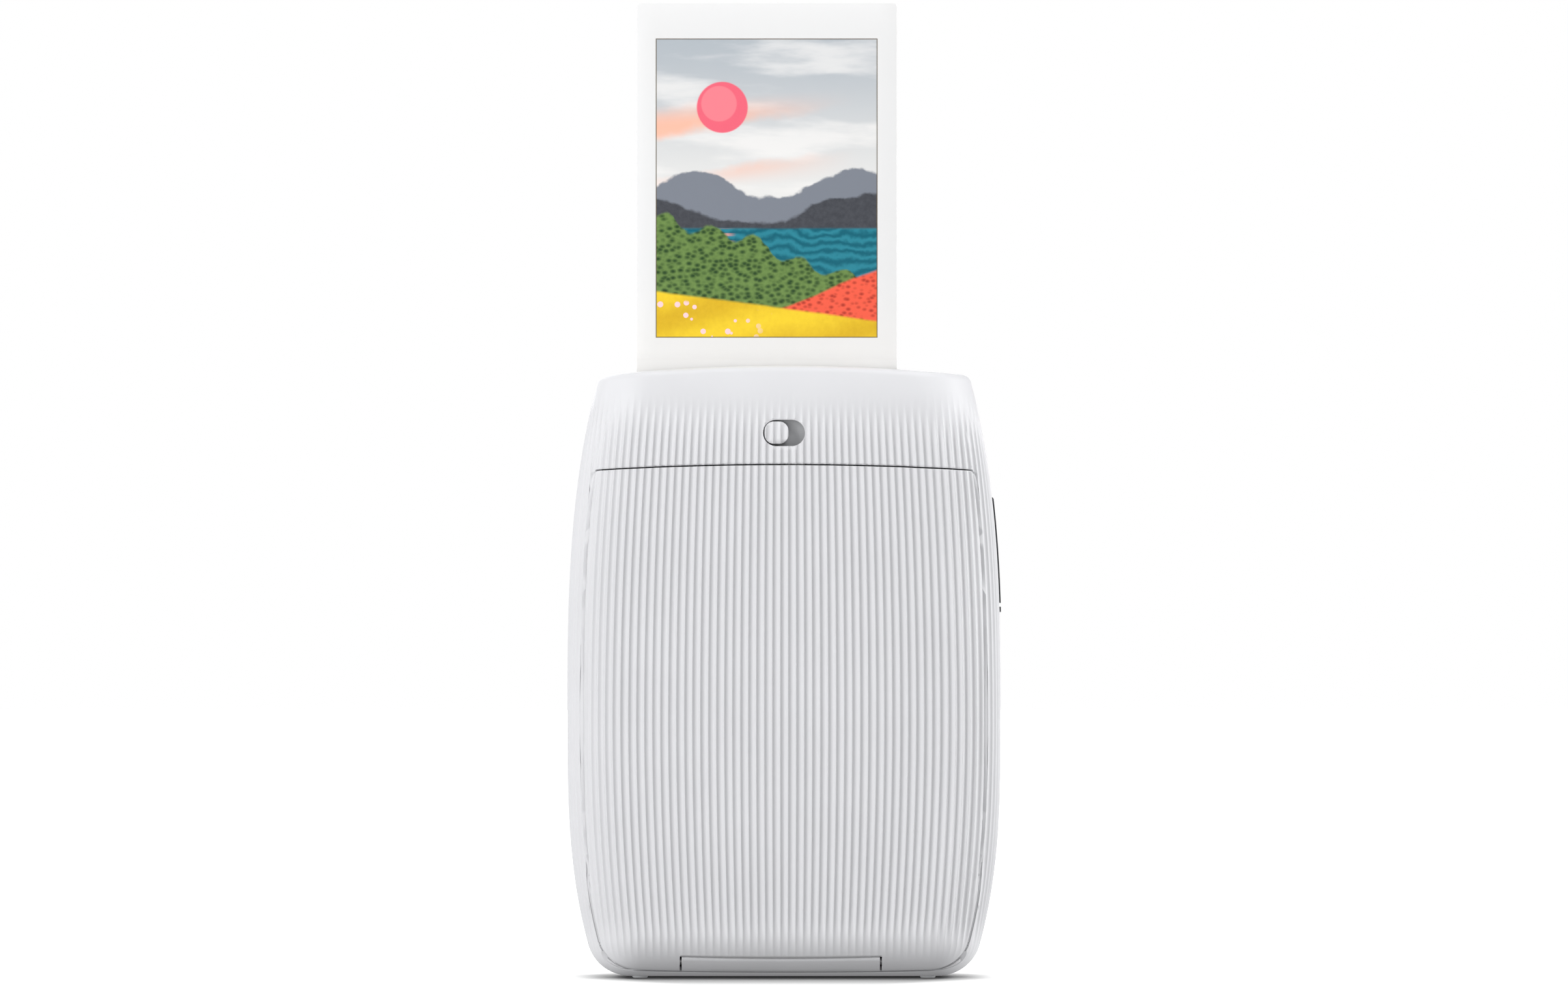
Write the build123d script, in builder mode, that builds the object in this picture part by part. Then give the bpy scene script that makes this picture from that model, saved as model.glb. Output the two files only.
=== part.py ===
from build123d import *
import math
import os

# Compact photo printer, standing upright, film door towards -Y.
# Millimetres. X to the right as seen from the door side, Z up, z = 0 under the feet.

# ---------------------------------------------------------------- driving sizes
# outer body
body_width = 90.0        # widest, at the waist
body_depth = 37.3
top_z = 126.7            # crown of the top
foot_height = 0.3        # gap under the body
waist_z = 52.6           # height of the widest section
upper_taper = 1.75e-5    # how fast the sides draw in above the waist
lower_taper = 4.5e-5     # the same below it
shoulder_z = 100.0       # faces start to roll back towards the top
shoulder_run = 27.0
shoulder_roll = 5.2
shoulder_power = 2.5
corner_radius = 12.0     # plan corners
face_crown = 620.0       # the two big faces are slightly crowned
top_crown = 362.0        # side to side arc of the top
base_fillet = 9.0
top_fillet = 2.2
roof_share = 1.25        # the roof is this much thicker than the walls
wall = 1.6
section_heights = (-1.0, 8.0, 18.0, 30.0, 42.0, 52.6, 68.0, 82.0, 94.0, 104.0, 112.0, 119.0, 127.3)

# how the shells split
seam_y = 6.4             # rear case meets front case
door_deep = 5.35         # door meets rear case at the sides this far in
door_top_z = 106.3       # crown of the door's top seam
door_top_arc = 652.0
door_corner = 2.6
door_gap = 0.25
opening_ease = 0.2       # the opening's corners stand this far outside the side seams
opening_flare = 3.7      # and it widens by this
opening_run = 30.0       # over this height

# hinge at the foot of the door
hinge_skin = 1.5         # plastic outside the hinge axis
hinge_angle = 49.8       # direction from the base roll's centre to the axis, below level
hinge_barrel = 2.2
hinge_gap = 0.3
lip_half = 20.5          # half length of the case's lip between the door's knuckles
lip_x = -0.65            # the lip stands a little left of the body's middle
knuckle_end = 36.5
pin_radius = 0.75
running = 0.05           # radial running clearance
knuckle_gap = 0.4        # between the lip's ends and the door's knuckles

# instant film and its pack
film_width = 54.0
film_height = 86.0
film_thick = 0.5
picture_width = 46.0
picture_height = 62.0
picture_rise = 16.5      # from the lower edge of the film to the picture
film_x = -3.6            # the film travels left of the body's middle
film_y = -1.8            # plane in which a film travels
print_z = 116.0          # lower edge of the print that stands in the slot
film_store_z = 16.5      # lower edge of the films in the pack
sheet_count = 9
sheet_pitch = 0.55
pack_width = 66.0
pack_height = 98.0
pack_z = 6.6
pack_back_y = -13.4
pack_front_y = -0.5
pack_wall = 1.2
pack_front_wall = 0.85

# inner frame
frame_y = -0.3           # door side of the frame's plate
frame_plate = 1.2
cheek_in = 33.6
cheek_thick = 1.2
frame_foot_z = 5.0
fixing_x = 37.6
fixing_z = (16.0, 98.0)
boss_radius = 2.6

# rollers and gears
nip_gap = 0.05           # between a roller and the film
roller_half = 27.5
shaft_radius = 1.0
nip_z = 117.5
module_mm = 0.5
roller_teeth = 13
idler_small = 14
idler_large = 24
pinion_teeth = 10
idler_y = 4.619
motor_y = 9.852
addendum = 0.8           # in modules
dedendum = 1.2
root_share = 0.29        # half a tooth's width at its root, as a share of the pitch
tip_share = 0.10
gear_in_x = -35.2        # gear plane next to the frame
gear_out_x = -36.5       # outer gear plane
gear_width = 1.0
motor_radius = 5.0
motor_flat = 4.0
motor_length = 19.4

# claw that hands a film to the rollers
claw_inset = 2.5         # from the film's edge
claw_travel = 15.0

# latch knob
latch_z = 112.7
latch_slot_length = 8.65
latch_slot_height = 5.4
knob_width = 4.94
knob_height = 4.6
knob_x = -1.55
latch_travel = 3.2
latch_deep = 3.35        # slider and pressure plate lie this far in
slider_thick = 1.0
hook_x = 0.0

# port cover on the +X side
port_y = 2.8
port_z = 88.5
port_length = 8.94
port_height = 3.2
port_mouth = (9.8, 4.0)
reset_drop = 9.0         # reset button below the port
reset_radius = 0.9
cover_top_z = 98.9
cover_low_z = 75.6
cover_width = 6.6
cover_proud = 0.25
cover_seat = 0.9
cover_gap = 0.3
cover_under = 0.1        # between the cover and the floor of its pocket

# electronics
board_y = 4.4
board_thick = 1.2
board_left = 3.0
board_right = 33.4
board_tab_right = 39.9   # the tab that carries the port
board_low_z = 22.0
board_high_z = 98.0

# power button on the front
button_z = 40.0
button_radius = 6.6
button_travel = 0.4
ring_in = 7.0
ring_out = 9.0

# feet
foot_x = 29.8
foot_y = 8.2
foot_radius = 1.6

# screws: radius, head radius, head height
case_screw = (0.8, 1.6, 1.3)
small_screw = (0.65, 1.25, 0.7)
screw_clear = 0.15

# ---------------------------------------------------------------- worked out
half_body = body_depth / 2
door_plane_y = door_deep - half_body
slider_y = latch_deep - half_body
plate_y = slider_y
base_z = foot_height
roll_y = -(half_body - base_fillet)
roll_z = base_z + base_fillet
hinge_y = roll_y - (base_fillet - hinge_skin) * math.cos(math.radians(hinge_angle))
hinge_z = roll_z - (base_fillet - hinge_skin) * math.sin(math.radians(hinge_angle))
frame_back = frame_y + frame_plate
cheek_out = cheek_in + cheek_thick
nip_offset = module_mm * roller_teeth / 2
drive_y = film_y + nip_offset
pinch_y = film_y - nip_offset
roller_radius = nip_offset - film_thick / 2 - nip_gap
idler_reach = module_mm * (roller_teeth + idler_small) / 2
idler_z = nip_z - math.sqrt(idler_reach ** 2 - (idler_y - drive_y) ** 2)
motor_reach = module_mm * (idler_large + pinion_teeth) / 2
motor_z = idler_z - math.sqrt(motor_reach ** 2 - (motor_y - idler_y) ** 2)
board_face = board_y + board_thick
reset_z = port_z - reset_drop
claw_x = film_x + film_width / 2 - claw_inset
tip_low = film_store_z - 1.3      # claw finger's underside
case_hole = case_screw[0] + screw_clear
small_hole = small_screw[0] + screw_clear
pilot_hole = small_screw[0] + running
cover_nose = (cover_seat + cover_proud) / 2
far = 80.0               # beyond the body on any side
over = 1.0               # how far a cut starts outside what it cuts

os.makedirs("parts", exist_ok=True)


# ---------------------------------------------------------------- helpers
def keep(piece, name):
    piece.part.label = name
    export_step(piece.part, f"parts/{name}.step")


def block(x0, x1, y0, y1, z0, z1, mode=Mode.ADD):
    with Locations(((x0 + x1) / 2, (y0 + y1) / 2, (z0 + z1) / 2)):
        Box(x1 - x0, y1 - y0, z1 - z0, mode=mode)


def rod_x(x0, x1, y, z, radius, mode=Mode.ADD):
    with Locations(Location((x0, y, z), (0, 90, 0))):
        Cylinder(radius, x1 - x0, align=(Align.CENTER, Align.CENTER, Align.MIN), mode=mode)


def rod_y(x, z, y0, y1, radius, mode=Mode.ADD):
    with Locations(Location((x, y0, z), (-90, 0, 0))):
        Cylinder(radius, y1 - y0, align=(Align.CENTER, Align.CENTER, Align.MIN), mode=mode)


def rod_z(x, y, z0, z1, radius, mode=Mode.ADD):
    with Locations((x, y, z0)):
        Cylinder(radius, z1 - z0, align=(Align.CENTER, Align.CENTER, Align.MIN), mode=mode)


def half_width(z):
    if z > waist_z:
        return body_width / 2 - upper_taper * (z - waist_z) ** 3
    return body_width / 2 - lower_taper * (waist_z - z) ** 3


def half_depth(z):
    return half_body - shoulder_roll * max(0.0, (z - shoulder_z) / shoulder_run) ** shoulder_power


def section_outline(z, inset):
    """Plan section: straight sides, round corners and slightly crowned faces, all tangent."""
    w = half_width(z) - inset
    d = half_depth(z) - inset
    r = corner_radius - inset
    crown = face_crown - inset
    cx = w - r
    cy = d - crown + math.sqrt((crown - r) ** 2 - cx ** 2)
    turn = math.atan2(cy - (d - crown), cx)
    tx = cx + r * math.cos(turn)
    ty = cy + r * math.sin(turn)
    mx = cx + r * math.cos(turn / 2)
    my = cy + r * math.sin(turn / 2)
    Line((w, -cy), (w, cy))
    ThreePointArc((w, cy), (mx, my), (tx, ty))
    ThreePointArc((tx, ty), (0, d), (-tx, ty))
    ThreePointArc((-tx, ty), (-mx, my), (-w, cy))
    Line((-w, cy), (-w, -cy))
    ThreePointArc((-w, -cy), (-mx, -my), (-tx, -ty))
    ThreePointArc((-tx, -ty), (0, -d), (tx, -ty))
    ThreePointArc((tx, -ty), (mx, -my), (w, -cy))


def body_form(inset, base_round, top_round):
    """The printer's outer form, or the same form drawn in by inset."""
    low = base_z + inset
    top = top_z - roof_share * inset
    edge = top - far ** 2 / (2 * top_crown)
    with BuildPart() as form:
        for z in section_heights:
            with BuildSketch(Plane.XY.offset(z)):
                with BuildLine():
                    section_outline(z, inset)
                make_face()
        loft()
        with BuildSketch(Plane.XZ):
            with BuildLine():
                ThreePointArc((-far, edge), (0, top), (far, edge))
                Polyline((far, edge), (far, low), (-far, low), (-far, edge))
            make_face()
        extrude(amount=far, both=True, mode=Mode.INTERSECT)
        if base_round:
            fillet(form.faces().sort_by(Axis.Z)[0].edges(), base_round)
        if top_round:
            fillet(form.faces().sort_by(Axis.Z)[-1].edges(), top_round)
    return form.part


def door_outline(inset):
    """Front view of the door, wider than the body below its top corners; a prism along Y."""
    reach = half_width(door_top_z) - corner_radius
    side = reach + math.sqrt(corner_radius ** 2 - (door_plane_y + half_body - corner_radius) ** 2)
    side = side + opening_ease - inset
    top = door_top_z - inset
    drop = side ** 2 / (2 * door_top_arc)
    with BuildPart() as prism:
        with BuildSketch(Plane.XZ.offset(-(door_plane_y - inset))) as view:
            with BuildLine():
                ThreePointArc((-side, top - drop), (0, top), (side, top - drop))
                Polyline(
                    (side, top - drop),
                    (side + opening_flare, top - opening_run),
                    (side + opening_flare, -far),
                    (-side - opening_flare, -far),
                    (-side - opening_flare, top - opening_run),
                    (-side, top - drop),
                )
            make_face()
            fillet(view.vertices().group_by(Axis.Y)[-1], door_corner)
        extrude(amount=far)
    return prism.part


def gear_outline(teeth, phase):
    """Trapezoid teeth with room between the flanks; phase is the angle of one tooth's centre."""
    pitch_radius = module_mm * teeth / 2
    step = 2 * math.pi / teeth
    shape = (
        (-root_share, pitch_radius - dedendum * module_mm),
        (-tip_share, pitch_radius + addendum * module_mm),
        (tip_share, pitch_radius + addendum * module_mm),
        (root_share, pitch_radius - dedendum * module_mm),
    )
    points = []
    for tooth in range(teeth):
        for share, radius in shape:
            angle = math.radians(phase) + (tooth + share) * step
            points.append((radius * math.cos(angle), radius * math.sin(angle)))
    Polyline(*points, close=True)


def gear(x0, x1, y, z, teeth, phase):
    with BuildSketch(Plane(origin=(x0, y, z), x_dir=(0, 1, 0), z_dir=(1, 0, 0))) as wheel:
        with BuildLine():
            gear_outline(teeth, phase)
        make_face()
    extrude(wheel.sketch, amount=x1 - x0)


def mesh_phase(y1, z1, teeth1, phase1, y2, z2, teeth2):
    """Phase of a second gear whose tooth spaces take the first gear's teeth."""
    line = math.degrees(math.atan2(z2 - z1, y2 - y1))
    share = (line - phase1) / (360 / teeth1)
    return line + 180 + (share + 0.5) * 360 / teeth2


def coil(start, direction, length, turns, radius, wire):
    with BuildLine() as path:
        Helix(pitch=length / turns, height=length, radius=radius, center=start, direction=direction)
    with BuildSketch(Plane(origin=path.line @ 0, z_dir=path.line % 0)) as wire_end:
        Circle(wire / 2)
    sweep(wire_end.sketch, path=path.line, is_frenet=True)


def screw(x, z, y_head, length, sizes, way):
    """Pan head screw along Y; way is +1 where its tip points to +Y."""
    radius, head_radius, head_height = sizes
    tip = y_head + way * length
    crest = y_head - way * head_height
    rod_y(x, z, min(y_head, tip), max(y_head, tip), radius)
    rod_y(x, z, min(y_head, crest), max(y_head, crest), head_radius)
    slot = 0.35
    deep = head_height / 2
    cut = min(crest, crest + way * deep)
    block(x - head_radius, x + head_radius, cut, cut + deep, z - slot / 2, z + slot / 2, Mode.SUBTRACT)


def both(inner, outer, side):
    """The span from inner to outer on one side of the middle plane, lower end first."""
    return sorted((side * inner, side * outer))


def lip_end(side):
    """Distance from the middle plane to the end of the hinge lip on one side."""
    return lip_half + side * lip_x


# ---------------------------------------------------------------- forms shared by the shells
outer_form = body_form(0.0, base_fillet, top_fillet)
inner_form = body_form(wall, base_fillet - wall, top_fillet / 2)
cover_skin = body_form(-cover_proud, 0, 0)
cover_floor = body_form(cover_seat, 0, 0)
recess_floor = body_form(cover_seat + cover_under, 0, 0)
door_opening = door_outline(0.0)
door_shape = door_outline(door_gap)

# ---------------------------------------------------------------- rear case
slot_clear = 1.2         # beside the film at either end of its slot
slot_half = film_width / 2 + slot_clear
slot_left = film_x - slot_half
slot_right = film_x + slot_half
slot_wide = 1.2
collar = 0.9
wiper = 1.0
wiper_low_z = 121.2
wiper_high_z = 123.5
wiper_gap = 0.25
wiper_clear = 0.2
collar_in = film_thick / 2 + wiper_gap + wiper
lug_back = frame_y - 2.5
lug_half = 1.6
retainer_y = slider_y + slider_thick + 0.1
latch_boss_x = 15.5
latch_boss_z = 113.6
latch_boss_radius = 1.8
slider_half = 8.0
slider_low = 108.6
slider_high = 116.6
rail_gap = 0.2
rail_thick = 1.0
rail_half = 12.0
hook_room = (-1.2, 8.4)  # the lower rail is open here for the hook
spring_stop_x = 17.5
spring_stop_top = 111.2
spring_z = 109.6
pilot_deep = 2.4
side_in = 40.0           # inside the side wall
pad_in = 41.2
pad_half = 4.2
pad_below = 1.4
pad_above = 2.2
relief_overrun = 1.5
pin_inside = 3.6         # pins reach this far into the lip
pin_outside = 6.2        # and this far into the door's knuckles
pin_end_gap = 0.4
foot_seat = 1.0
small_gap = 0.05

with BuildPart() as rear_fittings:
    for side in (-1, 1):
        for z in fixing_z:
            rod_y(side * fixing_x, z, lug_back, frame_y, boss_radius)
            lug = both(fixing_x, far, side)
            block(lug[0], lug[1], lug_back, frame_y, z - lug_half, z + lug_half)
        rod_y(side * latch_boss_x, latch_boss_z, -half_body, retainer_y, latch_boss_radius)
    for y0 in (film_y - collar_in - collar, film_y + collar_in):
        block(slot_left, slot_right, y0, y0 + collar, wiper_low_z, top_z)
    # rails that guide the latch slider, and the stop of its spring
    rail_y = slider_y + slider_thick
    lower_rail = slider_low - rail_gap - rail_thick
    upper_rail = slider_high + rail_gap
    block(-rail_half, hook_room[0], -half_body, rail_y, lower_rail, lower_rail + rail_thick)
    block(hook_room[1], spring_stop_x + rail_thick, -half_body, rail_y, lower_rail, lower_rail + rail_thick)
    block(-rail_half, rail_half, -half_body, rail_y, upper_rail, upper_rail + rail_thick)
    block(spring_stop_x, spring_stop_x + rail_thick, -half_body, rail_y, lower_rail, spring_stop_top)
    # thicker wall round the port
    block(pad_in, far, port_y - pad_half, seam_y, cover_low_z - pad_below, cover_top_z + pad_above)
    add(outer_form, mode=Mode.INTERSECT)

pocket_half = cover_width / 2 + cover_gap
with BuildPart() as cover_pocket:
    block(side_in, far, port_y - pocket_half, port_y + pocket_half,
          cover_low_z - cover_gap, cover_top_z + cover_nose + cover_gap)
    fillet(cover_pocket.edges().filter_by(Axis.X).group_by(Axis.Z)[0], cover_width / 2 - cover_under)
    add(recess_floor, mode=Mode.SUBTRACT)

with BuildPart() as hinge_lip:
    rod_x(lip_x - lip_half, lip_x + lip_half, hinge_y, hinge_z, hinge_barrel)
    add(outer_form, mode=Mode.INTERSECT)

with BuildPart() as rear_case:
    add(outer_form)
    add(inner_form, mode=Mode.SUBTRACT)
    add(rear_fittings.part)
    block(-far, far, seam_y, far, -far, far * 2, Mode.SUBTRACT)
    # the door's opening, then the lip and the relief round the hinge axis
    add(door_opening, mode=Mode.SUBTRACT)
    for side in (-1, 1):
        ends = both(lip_end(side) - small_gap, knuckle_end + relief_overrun, side)
        rod_x(ends[0], ends[1], hinge_y, hinge_z, hinge_barrel + hinge_gap, Mode.SUBTRACT)
    add(hinge_lip.part)
    for side in (-1, 1):
        ends = both(lip_end(side) - pin_inside - pin_end_gap, far, side)
        rod_x(ends[0], ends[1], hinge_y, hinge_z, pin_radius + running, Mode.SUBTRACT)
    # print slot, wider below for its wipers
    block(slot_left, slot_right, film_y - slot_wide, film_y + slot_wide, wiper_low_z, far * 2,
          Mode.SUBTRACT)
    block(slot_left, slot_right, film_y - collar_in, film_y + collar_in, wiper_low_z - over,
          wiper_high_z + wiper_clear, Mode.SUBTRACT)
    # latch knob's slot
    with BuildSketch(Plane.XZ.offset(rail_gap - slider_y)):
        with Locations((0, latch_z)):
            SlotOverall(latch_slot_length, latch_slot_height)
    extrude(amount=far, mode=Mode.SUBTRACT)
    for side in (-1, 1):
        rod_y(side * latch_boss_x, latch_boss_z, retainer_y - pilot_deep, retainer_y, pilot_hole,
              Mode.SUBTRACT)
        for z in fixing_z:
            rod_y(side * fixing_x, z, lug_back - over, frame_y + over, case_hole, Mode.SUBTRACT)
        rod_z(side * foot_x, -foot_y, base_z - over, base_z + foot_seat, foot_radius + small_gap,
              Mode.SUBTRACT)
    # pocket for the port cover, the port's mouth and the reset button's hole
    add(cover_pocket.part, mode=Mode.SUBTRACT)
    with BuildSketch(Plane.YZ.offset(side_in)):
        with Locations((port_y, port_z)):
            SlotOverall(port_mouth[0], port_mouth[1], rotation=90)
    extrude(amount=far, mode=Mode.SUBTRACT)
    rod_x(side_in, far, port_y, reset_z, reset_radius + cover_gap, Mode.SUBTRACT)
keep(rear_case, "rear_case")

# ---------------------------------------------------------------- front case
post_x = 10.0
post_z = 10.0
post_radius = 1.6
button_board_y = half_body - 8.25
button_board_thick = 1.2
button_board_back = button_board_y + button_board_thick
post_pilot_deep = 3.4
fixing_hole_deep = 8.0
bezel_deep = 3.4
bezel_rim = 1.2
ring_deep = 2.2
throat_step = 1.3
throat_deep = 4.0
with BuildPart() as front_fittings:
    for side in (-1, 1):
        for z in fixing_z:
            rod_y(side * fixing_x, z, frame_back, half_body, boss_radius)
        for rise in (-post_z, post_z):
            rod_y(side * post_x, button_z + rise, button_board_back, half_body, post_radius)
    rod_y(0, button_z, half_body - bezel_deep, half_body, ring_out + bezel_rim)
    add(outer_form, mode=Mode.INTERSECT)

with BuildPart() as front_case:
    add(outer_form)
    add(inner_form, mode=Mode.SUBTRACT)
    block(-far, far, -far, seam_y, -far, far * 2, Mode.SUBTRACT)
    add(front_fittings.part)
    for side in (-1, 1):
        for z in fixing_z:
            rod_y(side * fixing_x, z, frame_back - over, frame_back + fixing_hole_deep,
                  case_screw[0] + running, Mode.SUBTRACT)
        for rise in (-post_z, post_z):
            rod_y(side * post_x, button_z + rise, button_board_back - over,
                  button_board_back + post_pilot_deep, pilot_hole, Mode.SUBTRACT)
        rod_z(side * foot_x, foot_y, base_z - over, base_z + foot_seat, foot_radius + small_gap,
              Mode.SUBTRACT)
    rod_y(0, button_z, half_body - ring_deep, half_body + over, ring_out + small_gap, Mode.SUBTRACT)
    rod_y(0, button_z, half_body - throat_deep, half_body + over, ring_in + throat_step, Mode.SUBTRACT)
keep(front_case, "front_case")

# ---------------------------------------------------------------- film door
plate_half = 21.0
plate_low = 24.0
plate_high = 92.0
plate_thick = 1.0
door_post_x = 19.0
door_post_z = (27.6, 88.4)
door_post_radius = 1.2
door_post_cap = 2.1
cap_thick = 0.5
cap_gap = 0.2
seal_x = 33.8
seal_width = 1.4
seal_low = 12.0
seal_high = 98.0
seal_seat_y = 3.65 - half_body
seal_gap = 0.5
cheek_edge_y = -12.4     # door side of the frame's cheeks
with BuildPart() as door_fittings:
    for side in (-1, 1):
        ends = both(lip_end(side) + knuckle_gap, knuckle_end, side)
        rod_x(ends[0], ends[1], hinge_y, hinge_z, hinge_barrel)
        cap_y = plate_y + plate_thick + cap_gap
        for z in door_post_z:
            rod_y(side * door_post_x, z, -half_body, cap_y + small_gap, door_post_radius)
            rod_y(side * door_post_x, z, cap_y, cap_y + cap_thick, door_post_cap)
        ends = both(seal_x, seal_x + seal_width, side)
        block(ends[0], ends[1], -half_body, seal_seat_y, seal_low, seal_high)
    add(outer_form, mode=Mode.INTERSECT)

with BuildPart() as film_door:
    add(outer_form)
    add(inner_form, mode=Mode.SUBTRACT)
    add(door_shape, mode=Mode.INTERSECT)
    add(door_fittings.part)
    room = (lip_x - lip_half - knuckle_gap, lip_x + lip_half + knuckle_gap)
    rod_x(room[0], room[1], hinge_y, hinge_z, hinge_barrel + hinge_gap, Mode.SUBTRACT)
    block(room[0], room[1], -far, far, -far, hinge_z, Mode.SUBTRACT)
    for side in (-1, 1):
        ends = both(lip_end(side), lip_end(side) + pin_outside + pin_end_gap / 2, side)
        rod_x(ends[0], ends[1], hinge_y, hinge_z, pin_radius, Mode.SUBTRACT)
keep(film_door, "film_door")

with BuildPart() as hinge_pins:
    for side in (-1, 1):
        ends = both(lip_end(side) - pin_inside, lip_end(side) + pin_outside, side)
        rod_x(ends[0], ends[1], hinge_y, hinge_z, pin_radius)
keep(hinge_pins, "hinge_pins")

with BuildPart() as door_seal:
    for side in (-1, 1):
        ends = both(seal_x, seal_x + seal_width, side)
        block(ends[0], ends[1], seal_seat_y, cheek_edge_y - seal_gap, seal_low, seal_high)
keep(door_seal, "door_seal")

# plate on the door that keeps the films flat, and its leaf springs
nose_in = 9.4
nose_out = 17.6
nose_low = 30.5
nose_high = 84.5
nose_reach = 0.1         # the noses stop this far short of the pack's inside
plate_corner = 2.0
plate_hole = 1.6
plate_window_half = 5.0
plate_window_z = (34.0, 82.0)
with BuildPart() as pressure_plate:
    block(-plate_half, plate_half, plate_y, plate_y + plate_thick, plate_low, plate_high)
    fillet(pressure_plate.edges().filter_by(Axis.Y), plate_corner)
    for side in (-1, 1):
        ends = both(nose_in, nose_out, side)
        nose_y = pack_back_y + pack_wall - nose_reach
        block(ends[0], ends[1], plate_y + plate_thick, nose_y, nose_low, nose_high)
        for z in door_post_z:
            rod_y(side * door_post_x, z, -far, far, plate_hole, Mode.SUBTRACT)
    block(-plate_window_half, plate_window_half, -far, far, plate_window_z[0], plate_window_z[1],
          Mode.SUBTRACT)
keep(pressure_plate, "pressure_plate")

leaf_thick = 0.25
leaf_width = 6.0
leaf_x = (-14.0, 8.0)
leaf_low = 32.0
leaf_high = 82.0
leaf_end_y = 1.9 - half_body
leaf_mid_y = plate_y - nose_reach


def leaf(end_y, mid_y, low, high, thick):
    """Side view of a leaf spring, bowed from its ends at end_y to mid_y halfway up."""
    middle = (low + high) / 2
    ThreePointArc((end_y + thick, low), (mid_y, middle), (end_y + thick, high))
    Line((end_y + thick, high), (end_y, high))
    ThreePointArc((end_y, high), (mid_y - thick, middle), (end_y, low))
    Line((end_y, low), (end_y + thick, low))


with BuildPart() as plate_springs:
    for x0 in leaf_x:
        with BuildSketch(Plane.YZ.offset(x0)):
            with BuildLine():
                leaf(leaf_end_y, leaf_mid_y, leaf_low, leaf_high, leaf_thick)
            make_face()
        extrude(amount=leaf_width)
keep(plate_springs, "plate_springs")

# steel catch on the door that the latch holds
catch_width = 6.0
catch_thick = 0.7
catch_lip = 0.45
catch_low = 101.4
catch_high = 105.0
catch_base_y = 1.75 - half_body
catch_gap = 0.15
with BuildPart() as door_catch:
    catch_out = hook_x - catch_width
    lip_y = slider_y + slider_thick + catch_gap
    block(catch_out, hook_x, catch_base_y, catch_base_y + catch_thick, catch_low, catch_high)
    block(catch_out, catch_out + catch_thick, catch_base_y, lip_y + catch_lip, catch_low, catch_high)
    block(catch_out, hook_x, lip_y, lip_y + catch_lip, catch_low, catch_high)
keep(door_catch, "door_catch")

# ---------------------------------------------------------------- latch
knob_corner = 1.9
peg_radius = 0.9
with BuildPart() as latch_knob:
    with BuildSketch(Plane.XZ.offset(-slider_y)):
        with Locations((knob_x, latch_z)):
            RectangleRounded(knob_width, knob_height, knob_corner)
    extrude(amount=far)
    add(outer_form, mode=Mode.INTERSECT)
    rod_y(knob_x, latch_z, slider_y, slider_y + slider_thick, peg_radius)
keep(latch_knob, "latch_knob")

hook_gap = 0.3
hook_low = 101.8
hook_width = 4.0
slider_corner = 0.8
with BuildPart() as latch_slider:
    block(-slider_half, slider_half, slider_y, slider_y + slider_thick, slider_low, slider_high)
    fillet(latch_slider.edges().filter_by(Axis.Y), slider_corner)
    hook_side = hook_x + hook_gap
    block(hook_side, hook_side + hook_width, slider_y, slider_y + slider_thick, hook_low,
          slider_low + slider_thick)
    rod_y(knob_x, latch_z, -far, far, peg_radius + running, Mode.SUBTRACT)
keep(latch_slider, "latch_slider")

latch_coil_gap = 0.2
latch_coil_length = spring_stop_x - slider_half - latch_coil_gap - hook_gap
latch_coil_turns = 9
latch_coil_radius = 0.72
latch_wire = 0.25
with BuildPart() as latch_spring:
    coil((slider_half + latch_coil_gap, slider_y, spring_z), (1, 0, 0), latch_coil_length,
         latch_coil_turns, latch_coil_radius, latch_wire)
keep(latch_spring, "latch_spring")

retainer_thick = 1.0
retainer_half = 18.5
retainer_low = 107.8
retainer_high = 117.4
retainer_corner = 1.2
retainer_window_half = 5.0
retainer_window_z = (111.0, 115.0)
with BuildPart() as latch_retainer:
    retainer_back = retainer_y + retainer_thick
    block(-retainer_half, retainer_half, retainer_y, retainer_back, retainer_low, retainer_high)
    fillet(latch_retainer.edges().filter_by(Axis.Y), retainer_corner)
    for side in (-1, 1):
        rod_y(side * latch_boss_x, latch_boss_z, -far, far, small_hole, Mode.SUBTRACT)
    block(-retainer_window_half, retainer_window_half, -far, far, retainer_window_z[0],
          retainer_window_z[1], Mode.SUBTRACT)
keep(latch_retainer, "latch_retainer")

# ---------------------------------------------------------------- inner frame
board_boss = ((8.0, 30.0), (30.8, 30.0), (18.0, 93.0))
board_boss_radius = 2.2
window_half = 28.2
window_low = 107.4
window_high = 110.8
bush_radius = 1.6
bush_flange = 2.1
slot_back_y = -9.4       # where the pinch roller's springs stand
slot_wall = 0.7
plate_top = 113.6
shelf_y = -11.4          # shelf under the film pack
pack_clear = 0.2
cheek_low = 2.5          # cheeks start this far above the frame's foot
cheek_step = 104.6       # they are deeper below this height
cheek_overlap = 0.6
cheek_back_y = 7.4
cheek_back_low = 108.0
cheek_top = 120.6
ear_start = 0.5
claw_width = 2.0
claw_thick = 1.2
claw_side_gap = 0.7
claw_slot_below = 1.2
claw_slot_above = 2.6
rail_in = 0.2            # between the claw's plate and its rails
claw_half = 2.3
claw_rail_thick = 0.8
claw_rail_y = 2.3
claw_rail_top = 56.0
claw_stop_half = 1.8
claw_stop_y = 3.7
claw_stop_z = 62.0
claw_stop_thick = 1.2
head_z = 109.1
head_screw_x = (-29.8, 29.8)
bracket_screw_x = (-30.2, -25.6)
bracket_drop = 2.242     # bracket's screws below the motor's axis
bracket_screw_z = motor_z - bracket_drop
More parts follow.
